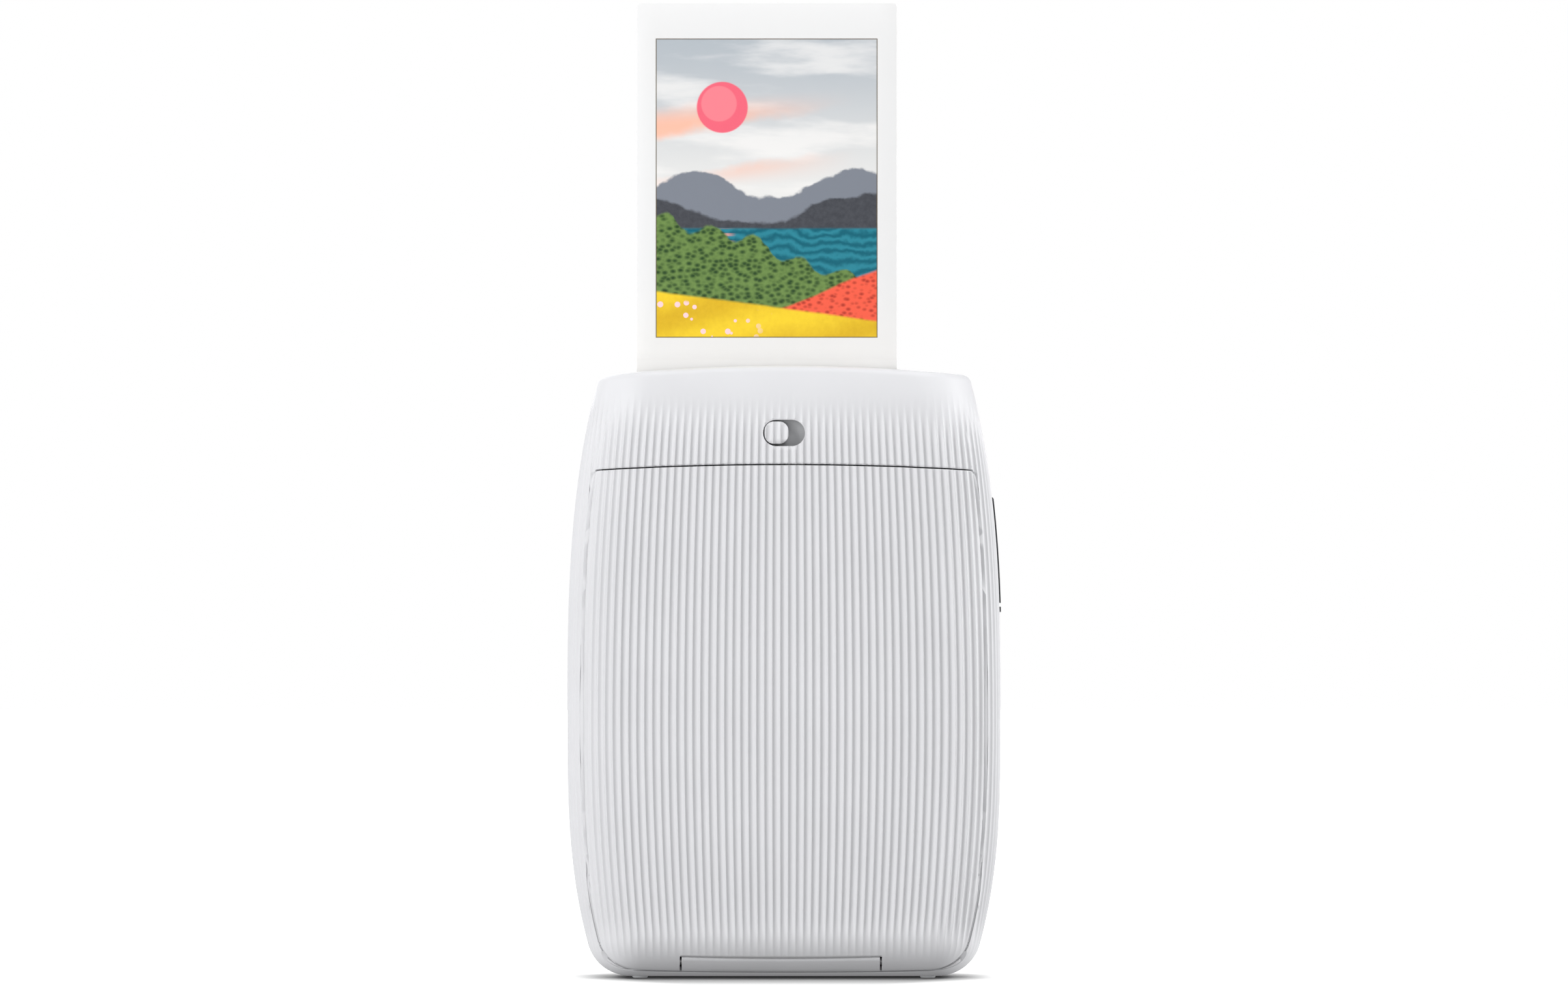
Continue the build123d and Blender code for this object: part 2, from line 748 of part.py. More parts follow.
with BuildPart() as film_frame:
    block(-cheek_out, cheek_out, frame_y, frame_back, frame_foot_z, plate_top)
    block(-cheek_in, cheek_in, shelf_y, frame_y, frame_foot_z, pack_z - pack_clear)
    for side in (-1, 1):
        ends = both(cheek_in, cheek_out, side)
        block(ends[0], ends[1], cheek_edge_y, frame_back, frame_foot_z + cheek_low, cheek_step)
        block(ends[0], ends[1], slot_back_y - slot_wall, frame_back, cheek_step - cheek_overlap, cheek_top)
        block(ends[0], ends[1], frame_back, cheek_back_y, cheek_back_low, cheek_top)
        for z in fixing_z:
            rod_y(side * fixing_x, z, frame_y, frame_back, boss_radius)
            ear = both(cheek_in + ear_start, fixing_x, side)
            block(ear[0], ear[1], frame_y, frame_back, z - boss_radius, z + boss_radius)
            rod_y(side * fixing_x, z, -far, far, case_hole, Mode.SUBTRACT)
        # bearing seats: a hole for the driven roller, a slot for the sprung one
        seat = bush_radius + running
        rod_x(ends[0] - over, ends[1] + over, drive_y, nip_z, seat, Mode.SUBTRACT)
        rod_x(ends[0] - over, ends[1] + over, pinch_y, nip_z, seat, Mode.SUBTRACT)
        block(ends[0] - over, ends[1] + over, slot_back_y, pinch_y, nip_z - seat, nip_z + seat,
              Mode.SUBTRACT)
    rod_x(-cheek_out - over, -cheek_in + over, idler_y, idler_z, pin_radius, Mode.SUBTRACT)
    # exposure window, claw slot and the bosses that carry the board
    block(-window_half, window_half, -far, far, window_low, window_high, Mode.SUBTRACT)
    claw_slot = (claw_x - claw_side_gap - small_gap * 2,
                 claw_x + claw_width + claw_side_gap - small_gap * 2)
    block(claw_slot[0], claw_slot[1], -far, far, tip_low - claw_slot_below,
          tip_low + claw_travel + claw_slot_above, Mode.SUBTRACT)
    for x, z in board_boss:
        rod_y(x, z, frame_back, board_y, board_boss_radius)
        rod_y(x, z, frame_y - over, board_y + over, pilot_hole, Mode.SUBTRACT)
    # rails of the claw and the stop of its spring
    for x0 in (claw_x - claw_half - rail_in - claw_rail_thick, claw_x + claw_half + rail_in):
        block(x0, x0 + claw_rail_thick, frame_back, claw_rail_y, tip_low + claw_rail_thick, claw_rail_top)
    block(claw_x - claw_stop_half, claw_x + claw_stop_half, frame_back, claw_stop_y, claw_stop_z,
          claw_stop_z + claw_stop_thick)
    for x in bracket_screw_x:
        rod_y(x, bracket_screw_z, frame_y - over, frame_back + over, pilot_hole, Mode.SUBTRACT)
    for x in head_screw_x:
        rod_y(x, head_z, frame_y - over, frame_back + over, pilot_hole, Mode.SUBTRACT)
keep(film_frame, "film_frame")

case_screw_length = 10.5
with BuildPart() as case_screws:
    for side in (-1, 1):
        for z in fixing_z:
            screw(side * fixing_x, z, lug_back, case_screw_length, case_screw, 1)
keep(case_screws, "case_screws")

# ---------------------------------------------------------------- film pack
cavity_half = film_width / 2 + 0.6
cavity_foot = 0.3        # room under the films
pack_back_in = pack_back_y + pack_wall
pack_front_in = pack_front_y - pack_front_wall
pack_top = pack_z + pack_height
pack_corner = 1.2
pack_edge = 0.8
exit_half = 0.45
pack_window_low = 30.0
nose_room = 1.2
nose_slot_z = (29.0, 86.0)
pocket_wall = 1.2
pocket_count = 3
pocket_rib = 1.5
with BuildPart() as film_cartridge:
    block(-pack_width / 2, pack_width / 2, pack_back_y, pack_front_y, pack_z, pack_top)
    fillet(film_cartridge.edges().filter_by(Axis.Z), pack_corner)
    chamfer(film_cartridge.faces().sort_by(Axis.Y)[0].edges().filter_by(Axis.X), pack_edge)
    cavity_left = film_x - cavity_half
    cavity_right = film_x + cavity_half
    block(cavity_left, cavity_right, pack_back_in, pack_front_in, film_store_z - cavity_foot,
          pack_top - pack_wall, Mode.SUBTRACT)
    block(cavity_left, cavity_right, film_y - exit_half, pack_front_in, pack_top - pack_wall - over,
          pack_top + over, Mode.SUBTRACT)
    block(film_x - picture_width / 2, film_x + picture_width / 2, pack_front_in - over, pack_front_y + over,
          pack_window_low, pack_window_low + picture_height, Mode.SUBTRACT)
    for side in (-1, 1):
        ends = both(nose_in - nose_room, nose_out + nose_room, side)
        block(ends[0], ends[1], pack_back_y - over, pack_back_in + over, nose_slot_z[0], nose_slot_z[1],
              Mode.SUBTRACT)
    block(claw_slot[0], claw_slot[1], film_y - cavity_foot, pack_front_y + over, tip_low - claw_slot_below,
          tip_low + claw_travel + claw_slot_above + cavity_foot, Mode.SUBTRACT)
    # moulded hollows beside the films, open towards the door
    pocket_low = pack_z + pocket_wall
    pocket_high = (pack_height - 2 * pocket_wall + pocket_rib) / pocket_count - pocket_rib
    for number in range(pocket_count):
        low = pocket_low + number * (pocket_high + pocket_rib)
        block(cavity_right + pocket_wall, pack_width / 2 - pocket_wall, pack_back_y - over,
              pack_front_y - pocket_wall, low, low + pocket_high, Mode.SUBTRACT)
keep(film_cartridge, "film_cartridge")

mark_x = 20.0
mark_width = 3.0
mark_z = (92.0, 103.0)
mark_thick = 0.1
with BuildPart() as pack_mark:
    block(mark_x, mark_x + mark_width, pack_back_y - mark_thick, pack_back_y, mark_z[0], mark_z[1])
keep(pack_mark, "pack_mark")

film_left = film_x - film_width / 2
film_right = film_x + film_width / 2
stack_gap = 0.1
stack_front = film_y - film_thick / 2 - stack_gap
with BuildPart() as film_stack:
    for sheet in range(sheet_count):
        front = stack_front - sheet * sheet_pitch
        block(film_left, film_right, front - film_thick, front, film_store_z, film_store_z + film_height)
keep(film_stack, "film_stack")

stack_back = stack_front - (sheet_count - 1) * sheet_pitch - film_thick
backing_thick = 0.8
backing_hole_half = 12.0
backing_hole_high = 20.0
backing_hole_z = (30.0, 60.0)
with BuildPart() as pack_backing:
    backing_front = stack_back - small_gap
    block(film_left, film_right, backing_front - backing_thick, backing_front, film_store_z,
          film_store_z + film_height)
    for z in backing_hole_z:
        block(film_x - backing_hole_half, film_x + backing_hole_half, -far, far, z, z + backing_hole_high,
              Mode.SUBTRACT)
keep(pack_backing, "pack_backing")

bow_thick = 0.4
bow_width = 7.0
bow_offset = (-21.0, 14.0)
bow_low = 25.0
bow_high = 95.0
back_plate_thick = 0.55
back_plate_inset = 1.0
back_plate_z = (18.0, 101.0)
back_plate_front = pack_back_in + small_gap + back_plate_thick
with BuildPart() as pack_spring:
    for offset_x in bow_offset:
        with BuildSketch(Plane.YZ.offset(film_x + offset_x)):
            with BuildLine():
                leaf(back_plate_front + 2 * small_gap, backing_front - backing_thick - 2 * small_gap,
                     bow_low, bow_high, bow_thick)
            make_face()
        extrude(amount=bow_width)
keep(pack_spring, "pack_spring")

with BuildPart() as pack_back_plate:
    block(film_left + back_plate_inset, film_right - back_plate_inset, pack_back_in + small_gap,
          back_plate_front, back_plate_z[0], back_plate_z[1])
keep(pack_back_plate, "pack_back_plate")

# ---------------------------------------------------------------- the print in the slot
image_deep = 0.1
card_corner = 0.8
film_front = film_y - film_thick / 2
picture_low = print_z + picture_rise
picture_left = film_x - picture_width / 2
picture_right = film_x + picture_width / 2
with BuildPart() as print_card:
    block(film_left, film_right, film_front, film_front + film_thick, print_z, print_z + film_height)
    fillet(print_card.edges().filter_by(Axis.Y), card_corner)
    block(picture_left, picture_right, film_front - over, film_front + image_deep, picture_low,
          picture_low + picture_height, Mode.SUBTRACT)
keep(print_card, "print_card")

with BuildPart() as print_image:
    block(picture_left, picture_right, film_front, film_front + image_deep, picture_low,
          picture_low + picture_height)
keep(print_image, "print_image")

# ---------------------------------------------------------------- rollers
shoulder_radius = 1.6
shoulder_gap = 0.3
shaft_left = -36.3
shaft_right = 35.6
bush_rim = 0.3


def roller(y):
    rod_x(film_x - roller_half, film_x + roller_half, y, nip_z, roller_radius)
    rod_x(shoulder_gap - cheek_in, cheek_in - shoulder_gap, y, nip_z, shoulder_radius)
    rod_x(shaft_left, shaft_right, y, nip_z, shaft_radius)


with BuildPart() as drive_roller:
    roller(drive_y)
keep(drive_roller, "drive_roller")

with BuildPart() as pinch_roller:
    roller(pinch_y)
keep(pinch_roller, "pinch_roller")

with BuildPart() as roller_bushes:
    for y in (drive_y, pinch_y):
        for side in (-1, 1):
            ends = both(cheek_in, cheek_out, side)
            rod_x(ends[0], ends[1], y, nip_z, bush_radius)
            rim = both(cheek_out, cheek_out + bush_rim, side)
            rod_x(rim[0], rim[1], y, nip_z, bush_flange)
            rod_x(ends[0] - over, ends[1] + over, y, nip_z, shaft_radius + running, Mode.SUBTRACT)
keep(roller_bushes, "roller_bushes")

pinch_coil_gap = 0.15
pinch_coil_turns = 5
pinch_coil_radius = 0.42
pinch_wire = 0.22
with BuildPart() as pinch_springs:
    for side in (-1, 1):
        coil((side * (cheek_in + cheek_out) / 2, slot_back_y + pinch_coil_gap, nip_z), (0, 1, 0),
             pinch_y - bush_radius - slot_back_y - 2 * pinch_coil_gap, pinch_coil_turns,
             pinch_coil_radius, pinch_wire)
keep(pinch_springs, "pinch_springs")

drive_phase = math.degrees(math.atan2(0, pinch_y - drive_y))
pinch_phase = mesh_phase(drive_y, nip_z, roller_teeth, drive_phase, pinch_y, nip_z, roller_teeth)
idler_phase = mesh_phase(drive_y, nip_z, roller_teeth, drive_phase, idler_y, idler_z, idler_small)
large_phase = 0.0
pinion_phase = mesh_phase(idler_y, idler_z, idler_large, large_phase, motor_y, motor_z, pinion_teeth)
idler_hub = 2.4

with BuildPart() as drive_gear:
    gear(gear_in_x - gear_width, gear_in_x, drive_y, nip_z, roller_teeth, drive_phase)
    rod_x(-far, 0, drive_y, nip_z, shaft_radius, Mode.SUBTRACT)
keep(drive_gear, "drive_gear")

with BuildPart() as pinch_gear:
    gear(gear_in_x - gear_width, gear_in_x, pinch_y, nip_z, roller_teeth, pinch_phase)
    rod_x(-far, 0, pinch_y, nip_z, shaft_radius, Mode.SUBTRACT)
keep(pinch_gear, "pinch_gear")

with BuildPart() as idler_gear:
    gear(gear_in_x - gear_width, gear_in_x, idler_y, idler_z, idler_small, idler_phase)
    gear(gear_out_x - gear_width, gear_out_x, idler_y, idler_z, idler_large, large_phase)
    rod_x(gear_out_x, gear_in_x, idler_y, idler_z, idler_hub)
    rod_x(-far, 0, idler_y, idler_z, pin_radius + running, Mode.SUBTRACT)
keep(idler_gear, "idler_gear")

idler_pin_out = 0.15
with BuildPart() as idler_pin:
    rod_x(gear_out_x - gear_width - idler_pin_out, -cheek_in, idler_y, idler_z, pin_radius)
keep(idler_pin, "idler_pin")

# ---------------------------------------------------------------- motor
motor_face = -33.4
motor_boss_radius = 1.8
motor_boss_length = 1.0
motor_shaft_radius = 0.5
shaft_in = 2.8
shaft_room = 0.2
shaft_out = 0.1
with BuildPart() as motor:
    motor_end = motor_face + motor_length
    rod_x(motor_face, motor_end, motor_y, motor_z, motor_radius)
    block(-far, far, motor_y - motor_flat, motor_y + motor_flat, -far, far * 2, Mode.INTERSECT)
    rod_x(motor_end, motor_end + motor_boss_length, motor_y, motor_z, motor_boss_radius)
    rod_x(motor_face - over, motor_face + shaft_in + shaft_room, motor_y, motor_z,
          motor_shaft_radius + running, Mode.SUBTRACT)
keep(motor, "motor")

with BuildPart() as motor_shaft:
    rod_x(gear_out_x - gear_width - shaft_out, motor_face + shaft_in, motor_y, motor_z, motor_shaft_radius)
keep(motor_shaft, "motor_shaft")

with BuildPart() as motor_pinion:
    gear(gear_out_x - gear_width, gear_out_x, motor_y, motor_z, pinion_teeth, pinion_phase)
    rod_x(-far, 0, motor_y, motor_z, motor_shaft_radius, Mode.SUBTRACT)
keep(motor_pinion, "motor_pinion")

bracket_thick = 1.0
bracket_below = 4.442    # under the motor's axis
bracket_above = 0.058
bracket_right = -23.2
bracket_neck_y = 7.9
bracket_hole = 1.4
with BuildPart() as motor_bracket:
    bracket_low = motor_z - bracket_below
    bracket_step = motor_z + bracket_above
    bracket_x = motor_face - bracket_thick
    bracket_back = motor_y + motor_flat
    block(bracket_x, motor_face, frame_back, bracket_back, bracket_low, bracket_step)
    block(bracket_x, motor_face, bracket_neck_y, bracket_back, bracket_step, motor_z + motor_radius)
    block(motor_face, bracket_right, frame_back, frame_back + bracket_thick, bracket_low, bracket_step)
    rod_x(bracket_x - over, motor_face + over, motor_y, motor_z, bracket_hole, Mode.SUBTRACT)
    for x in bracket_screw_x:
        rod_y(x, bracket_screw_z, -far, far, small_hole, Mode.SUBTRACT)
keep(motor_bracket, "motor_bracket")

# ---------------------------------------------------------------- film claw
claw_plate_thick = 0.8
claw_plate_top = 34.0
claw_y = frame_back + rail_in
claw_coil_y = frame_back + 1.5
claw_coil_gap = 0.2
claw_coil_turns = 16
claw_coil_radius = 0.9
claw_wire = 0.3
with BuildPart() as film_claw:
    block(claw_x - claw_half, claw_x + claw_half, claw_y, claw_y + claw_plate_thick, tip_low,
          claw_plate_top)
    finger_x = claw_x - small_gap * 2
    block(finger_x, finger_x + claw_width, film_front + small_gap, claw_y, tip_low, tip_low + claw_thick)
keep(film_claw, "film_claw")

with BuildPart() as claw_spring:
    coil((claw_x, claw_coil_y, claw_plate_top + claw_coil_gap), (0, 0, 1),
         claw_stop_z - claw_plate_top - 2 * claw_coil_gap, claw_coil_turns, claw_coil_radius, claw_wire)
keep(claw_spring, "claw_spring")

# ---------------------------------------------------------------- exposure head
head_half = 31.4
head_high = 3.2          # half its height
head_back = 5.0
head_corner = 0.6
lens_half = 27.5
lens_high = 0.8
lens_back = 3.5
lens_gap = 0.1
light_board_half = 27.8
light_board_high = 2.8
light_board_thick = 0.7
with BuildPart() as exposure_head:
    block(-head_half, head_half, frame_back, head_back, head_z - head_high, head_z + head_high)
    fillet(exposure_head.edges().filter_by(Axis.X), head_corner)
    lens_room = lens_half + lens_gap
    block(-lens_room, lens_room, frame_back - over, lens_back + lens_gap, head_z - lens_high - lens_gap,
          head_z + lens_high + lens_gap, Mode.SUBTRACT)
    for x in head_screw_x:
        rod_y(x, head_z, -far, far, small_hole, Mode.SUBTRACT)
keep(exposure_head, "exposure_head")

with BuildPart() as lens_bar:
    block(-lens_half, lens_half, film_y + film_thick / 2 + cavity_foot, lens_back, head_z - lens_high,
          head_z + lens_high)
keep(lens_bar, "lens_bar")

with BuildPart() as light_board:
    block(-light_board_half, light_board_half, head_back, head_back + light_board_thick,
          head_z - light_board_high, head_z + light_board_high)
keep(light_board, "light_board")

flex_thick = 0.2
flex_x = 12.0
flex_width = 9.0
flex_route = ((5.75, 109.5), (5.75, 106.0), (7.6, 103.0), (7.6, 99.0), (6.4, 97.7))
with BuildPart() as head_flex:
    with BuildSketch(Plane.YZ.offset(flex_x)):
        with BuildLine():
            Polyline(*flex_route, *[(y + flex_thick, z) for y, z in reversed(flex_route)], close=True)
        make_face()
    extrude(amount=flex_width)
keep(head_flex, "head_flex")

head_screw_length = 5.2
bracket_screw_length = 2.4
retainer_screw_length = 2.8
board_screw_length = 3.6
button_screw_length = 4.0
with BuildPart() as small_screws:
    for x in head_screw_x:
        screw(x, head_z, head_back, head_screw_length, small_screw, -1)
    for x in bracket_screw_x:
        screw(x, bracket_screw_z, frame_back + bracket_thick, bracket_screw_length, small_screw, -1)
    for side in (-1, 1):
        screw(side * latch_boss_x, latch_boss_z, retainer_back, retainer_screw_length, small_screw, -1)
    for x, z in board_boss:
        screw(x, z, board_face, board_screw_length, small_screw, -1)
    for side in (-1, 1):
        for rise in (-post_z, post_z):
            screw(side * post_x, button_z + rise, button_board_y, button_screw_length, small_screw, 1)
keep(small_screws, "small_screws")

# ---------------------------------------------------------------- electronics
tab_z = (73.5, 93.6)
with BuildPart() as main_board:
    block(board_left, board_right, board_y, board_face, board_low_z, board_high_z)
    block(board_right - over, board_tab_right, board_y, board_face, tab_z[0], tab_z[1])
    for x, z in board_boss:
        rod_y(x, z, -far, far, small_hole, Mode.SUBTRACT)
keep(main_board, "main_board")

# each: left, right, height off the board, lower edge, upper edge
wireless = (14.0, 26.0, 2.0, 24.5, 41.5)
chips = ((14.0, 23.0, 1.0, 58.0, 67.0), (25.0, 31.0, 0.9, 74.0, 79.0), (7.0, 11.0, 0.9, 50.0, 55.0))
connectors = ((4.5, 9.5, 2.8, 78.0, 83.0), (4.5, 9.5, 2.8, 86.0, 91.0), (11.5, 21.5, 1.2, 95.0, 97.6))


def on_board(left, right, tall, low, high):
    block(left, right, board_face, board_face + tall, low, high)


with BuildPart() as wireless_module:
    on_board(*wireless)
keep(wireless_module, "wireless_module")

with BuildPart() as board_chips:
    for chip in chips:
        on_board(*chip)
keep(board_chips, "board_chips")

with BuildPart() as board_connectors:
    for connector in connectors:
        on_board(*connector)
keep(board_connectors, "board_connectors")

socket_x = 33.7
socket_deep = 7.3
socket_back = 1.3
socket_shell = 0.3
tongue_y = (board_y - 1.95, board_y - 1.25)
tongue_half = 3.3
tongue_right = 40.3
with BuildPart() as usb_socket:
    with BuildSketch(Plane.YZ.offset(socket_x)):
        with Locations((board_y - port_height / 2, port_z)):
            SlotOverall(port_length, port_height, rotation=90)
    extrude(amount=socket_deep)
    with BuildSketch(Plane.YZ.offset(socket_x + socket_back)):
        with Locations((board_y - port_height / 2, port_z)):
            SlotOverall(port_length - 2 * socket_shell, port_height - 2 * socket_shell, rotation=90)
    extrude(amount=socket_deep, mode=Mode.SUBTRACT)
    block(socket_x + socket_back, tongue_right, tongue_y[0], tongue_y[1], port_z - tongue_half,
          port_z + tongue_half)
keep(usb_socket, "usb_socket")

switch_x = (37.4, 39.6)
switch_low_y = 2.0
switch_half = 2.0
switch_tip = 0.4
switch_tip_radius = 0.7
reset_gap = 0.35
reset_flange = 1.5
reset_flange_thick = 0.5
reset_face = 43.3
with BuildPart() as reset_switch:
    block(switch_x[0], switch_x[1], switch_low_y, board_y, reset_z - switch_half, reset_z + switch_half)
    rod_x(switch_x[1], switch_x[1] + switch_tip, port_y, reset_z, switch_tip_radius)
keep(reset_switch, "reset_switch")

with BuildPart() as reset_button:
    reset_back = switch_x[1] + switch_tip + reset_gap
    rod_x(reset_back, reset_face, port_y, reset_z, reset_radius)
    rod_x(reset_back, reset_back + reset_flange_thick, port_y, reset_z, reset_flange)
keep(reset_button, "reset_button")

cover_axis_x = half_width(cover_top_z) - (cover_seat - cover_proud) / 2
groove_z = (76.7, 77.5)
groove_deep = 0.3
with BuildPart() as port_cover:
    cover_half = cover_width / 2
    block(side_in, far, port_y - cover_half, port_y + cover_half, cover_low_z, cover_top_z)
    fillet(port_cover.edges().filter_by(Axis.X).group_by(Axis.Z)[0], cover_half - cover_under)
    add(cover_skin, mode=Mode.INTERSECT)
    add(cover_floor, mode=Mode.SUBTRACT)
    with Locations(Location((cover_axis_x, port_y - cover_half, cover_top_z), (-90, 0, 0))):
        Cylinder(cover_nose, cover_width, align=(Align.CENTER, Align.CENTER, Align.MIN))
    # fingernail groove near the lower end
    block(half_width(groove_z[1]) - groove_deep, far, -far, far, groove_z[0], groove_z[1], Mode.SUBTRACT)
keep(port_cover, "port_cover")

battery_left = -37.0
battery_right = 0.5
battery_gap = 0.4
battery_back_y = 8.3
battery_z = (26.0, 80.0)
battery_corner = 2.4
with BuildPart() as battery:
    block(battery_left, battery_right, frame_back + battery_gap, battery_back_y, battery_z[0], battery_z[1])
    fillet(battery.edges().filter_by(Axis.Z), battery_corner)
keep(battery, "battery")

battery_pad_x = (-32.0, -4.0)
battery_pad_z = (32.0, 66.0)
battery_pad_high = 8.0
with BuildPart() as battery_pads:
    for z0 in battery_pad_z:
        block(battery_pad_x[0], battery_pad_x[1], frame_back, frame_back + battery_gap, z0,
              z0 + battery_pad_high)
keep(battery_pads, "battery_pads")

# each lead leaves the battery's top, turns and ends in its connector
lead_radius = 0.55
lead_bend = 1.5
lead_pitch = 1.7
lead_x = -6.0
lead_y = (5.0, 7.0)
lead_rise = 88.5
lead_mid_x = -1.5
lead_end = (connectors[1][0] - 0.15, 87.4)
with BuildPart() as battery_leads:
    for shift in (0.0, lead_pitch):
        with BuildLine() as route:
            FilletPolyline(
                (lead_x - shift, lead_y[0], battery_z[1]),
                (lead_x - shift, lead_y[0], lead_rise + shift),
                (lead_mid_x, lead_y[1], lead_rise + shift - 0.1),
                (lead_end[0], lead_y[1], lead_end[1] + shift),
                radius=lead_bend,
            )
        with BuildSketch(Plane(origin=route.line @ 0, z_dir=route.line % 0)):
            Circle(lead_radius)
        sweep()
keep(battery_leads, "battery_leads")

# ---------------------------------------------------------------- power button
button_back = half_body - throat_deep - 0.1
button_flange = 0.7
button_flange_step = 1.0
stem_radius = 1.5
stem_end = half_body - 4.4
with BuildPart() as power_button:
    rod_y(0, button_z, button_back, half_body + over, button_radius)
    rod_y(0, button_z, button_back, button_back + button_flange, ring_in + button_flange_step)
    rod_y(0, button_z, stem_end, button_back, stem_radius)
    add(outer_form, mode=Mode.INTERSECT)
keep(power_button, "power_button")

with BuildPart() as light_ring:
    rod_y(0, button_z, half_body - ring_deep, half_body + over, ring_out)
    rod_y(0, button_z, -far, far, ring_in, Mode.SUBTRACT)
    add(outer_form, mode=Mode.INTERSECT)
keep(light_ring, "light_ring")

button_board_half = 12.5
button_board_corner = 2.0
with BuildPart() as button_board:
    block(-button_board_half, button_board_half, button_board_y, button_board_back,
          button_z - button_board_half, button_z + button_board_half)
    fillet(button_board.edges().filter_by(Axis.Y), button_board_corner)
    for side in (-1, 1):
        for rise in (-post_z, post_z):
            rod_y(side * post_x, button_z + rise, -far, far, small_hole, Mode.SUBTRACT)
keep(button_board, "button_board")

power_switch_half = 3.0
power_switch_thick = 1.6
power_switch_tip = 1.2
power_switch_end = half_body - 4.85
with BuildPart() as power_switch:
    power_switch_face = button_board_back + power_switch_thick
    block(-power_switch_half, power_switch_half, button_board_back, power_switch_face,
          button_z - power_switch_half, button_z + power_switch_half)
    rod_y(0, button_z, power_switch_face, power_switch_end, power_switch_tip)
keep(power_switch, "power_switch")

# ---------------------------------------------------------------- small fitted pieces
wiper_overhang = 0.5
with BuildPart() as slot_wipers:
    for y0 in (film_y - collar_in, film_y + collar_in - wiper):
        block(film_left - wiper_overhang, film_right + wiper_overhang, y0, y0 + wiper, wiper_low_z,
              wiper_high_z)
keep(slot_wipers, "slot_wipers")

door_switch_size = (2.6, 5.0, 7.0)
door_switch_y = -9.5
door_switch_z = 84.0
lever = (0.7, 1.9)
lever_reach = 1.1
lever_z = (86.5, 88.5)
with BuildPart() as door_switch:
    block(cheek_out, cheek_out + door_switch_size[0], door_switch_y, door_switch_y + door_switch_size[1],
          door_switch_z, door_switch_z + door_switch_size[2])
    block(cheek_out + lever[0], cheek_out + lever[1], door_switch_y - lever_reach, door_switch_y,
          lever_z[0], lever_z[1])
keep(door_switch, "door_switch")

foot_round = 0.28
with BuildPart() as rubber_feet:
    for x in (-foot_x, foot_x):
        for y in (-foot_y, foot_y):
            rod_z(x, y, 0.0, base_z + foot_seat, foot_radius)
    fillet(rubber_feet.edges().group_by(Axis.Z)[0], foot_round)
keep(rubber_feet, "rubber_feet")

print("hinge axis", round(hinge_y, 3), round(hinge_z, 3))
print("drive roller", round(drive_y, 3), nip_z, "pinch roller", round(pinch_y, 3), nip_z)
print("idler", round(idler_y, 3), round(idler_z, 3), "motor", round(motor_y, 3), round(motor_z, 3))
print("port cover axis", round(cover_axis_x, 3), cover_top_z)
print("least gap in the latch spring", round(latch_coil_length / latch_coil_turns - latch_wire, 2))
print("travels: latch", latch_travel, "claw", claw_travel, "button", button_travel)
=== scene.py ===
# %% [markdown]
# # A compact photo printer, standing up with a fresh print in its slot
#
# The printer's pieces arrive from the CAD model as a fixed frame: every piece is already at
# its real size and place, in metres. This lesson gives them their looks. Most pieces keep
# their CAD shape and get a finish. The outer shells, whose fine flutes the CAD model leaves
# out, are cut again from one fluted skin, and the print gets its creases and its picture.

# %% Load the frame
import math
import bmesh
import bpy
from mathutils import Matrix, Vector


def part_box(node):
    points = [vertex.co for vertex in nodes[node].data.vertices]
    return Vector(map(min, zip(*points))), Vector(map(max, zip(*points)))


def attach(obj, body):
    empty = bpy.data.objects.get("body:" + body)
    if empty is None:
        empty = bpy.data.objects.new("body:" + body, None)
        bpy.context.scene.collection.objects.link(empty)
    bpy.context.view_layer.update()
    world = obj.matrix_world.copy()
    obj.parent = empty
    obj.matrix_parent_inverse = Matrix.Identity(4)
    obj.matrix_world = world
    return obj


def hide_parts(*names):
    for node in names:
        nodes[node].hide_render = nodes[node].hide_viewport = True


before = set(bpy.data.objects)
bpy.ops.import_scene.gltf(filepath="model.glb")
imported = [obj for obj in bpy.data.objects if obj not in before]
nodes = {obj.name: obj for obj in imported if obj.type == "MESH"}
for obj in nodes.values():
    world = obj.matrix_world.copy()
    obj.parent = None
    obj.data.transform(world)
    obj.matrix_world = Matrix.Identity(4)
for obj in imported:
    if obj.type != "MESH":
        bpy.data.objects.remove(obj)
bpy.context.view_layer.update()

MM = 0.001

# %% [markdown]
# ## The outer form, as a formula
#
# Everything on the shells follows one form. Seen from the door side it is a barrel: the
# half width falls off with the cube of the distance from the waist, a little faster below
# than above. Seen from the side it is straight, and rolls inwards near the top. In plan it
# is a rectangle with round corners and slightly crowned faces. The flutes, the seams and
# the rolled edges are all placed by these formulas, so they meet from piece to piece.

# %% Sizes of the outer form, in millimetres
HALF_WIDTH = 45.0
HALF_DEPTH = 18.65
WAIST_Z = 52.6
UPPER_TAPER = 1.75e-5
LOWER_TAPER = 4.5e-5
SHOULDER_Z = 100.0
SHOULDER_RUN = 27.0
SHOULDER_ROLL = 5.2
CORNER = 12.0
CROWN = 620.0
BASE_Z = 0.3
BASE_ROUND = 9.0
TOP_Z = 126.7
TOP_ARC = 362.0
TOP_ROUND = 2.2

DOOR_PLANE_Y = -13.3
DOOR_TOP_Z = 106.3
DOOR_TOP_ARC = 652.0
DOOR_CORNER = 2.6
DOOR_GAP = 0.25
CASE_SEAM_Y = 6.4


def half_width(z):
    if z > WAIST_Z:
        return HALF_WIDTH - UPPER_TAPER * (z - WAIST_Z) ** 3
    return HALF_WIDTH - LOWER_TAPER * (WAIST_Z - z) ** 3


def half_depth(z):
    return HALF_DEPTH - SHOULDER_ROLL * max(0.0, (z - SHOULDER_Z) / SHOULDER_RUN) ** 2.5


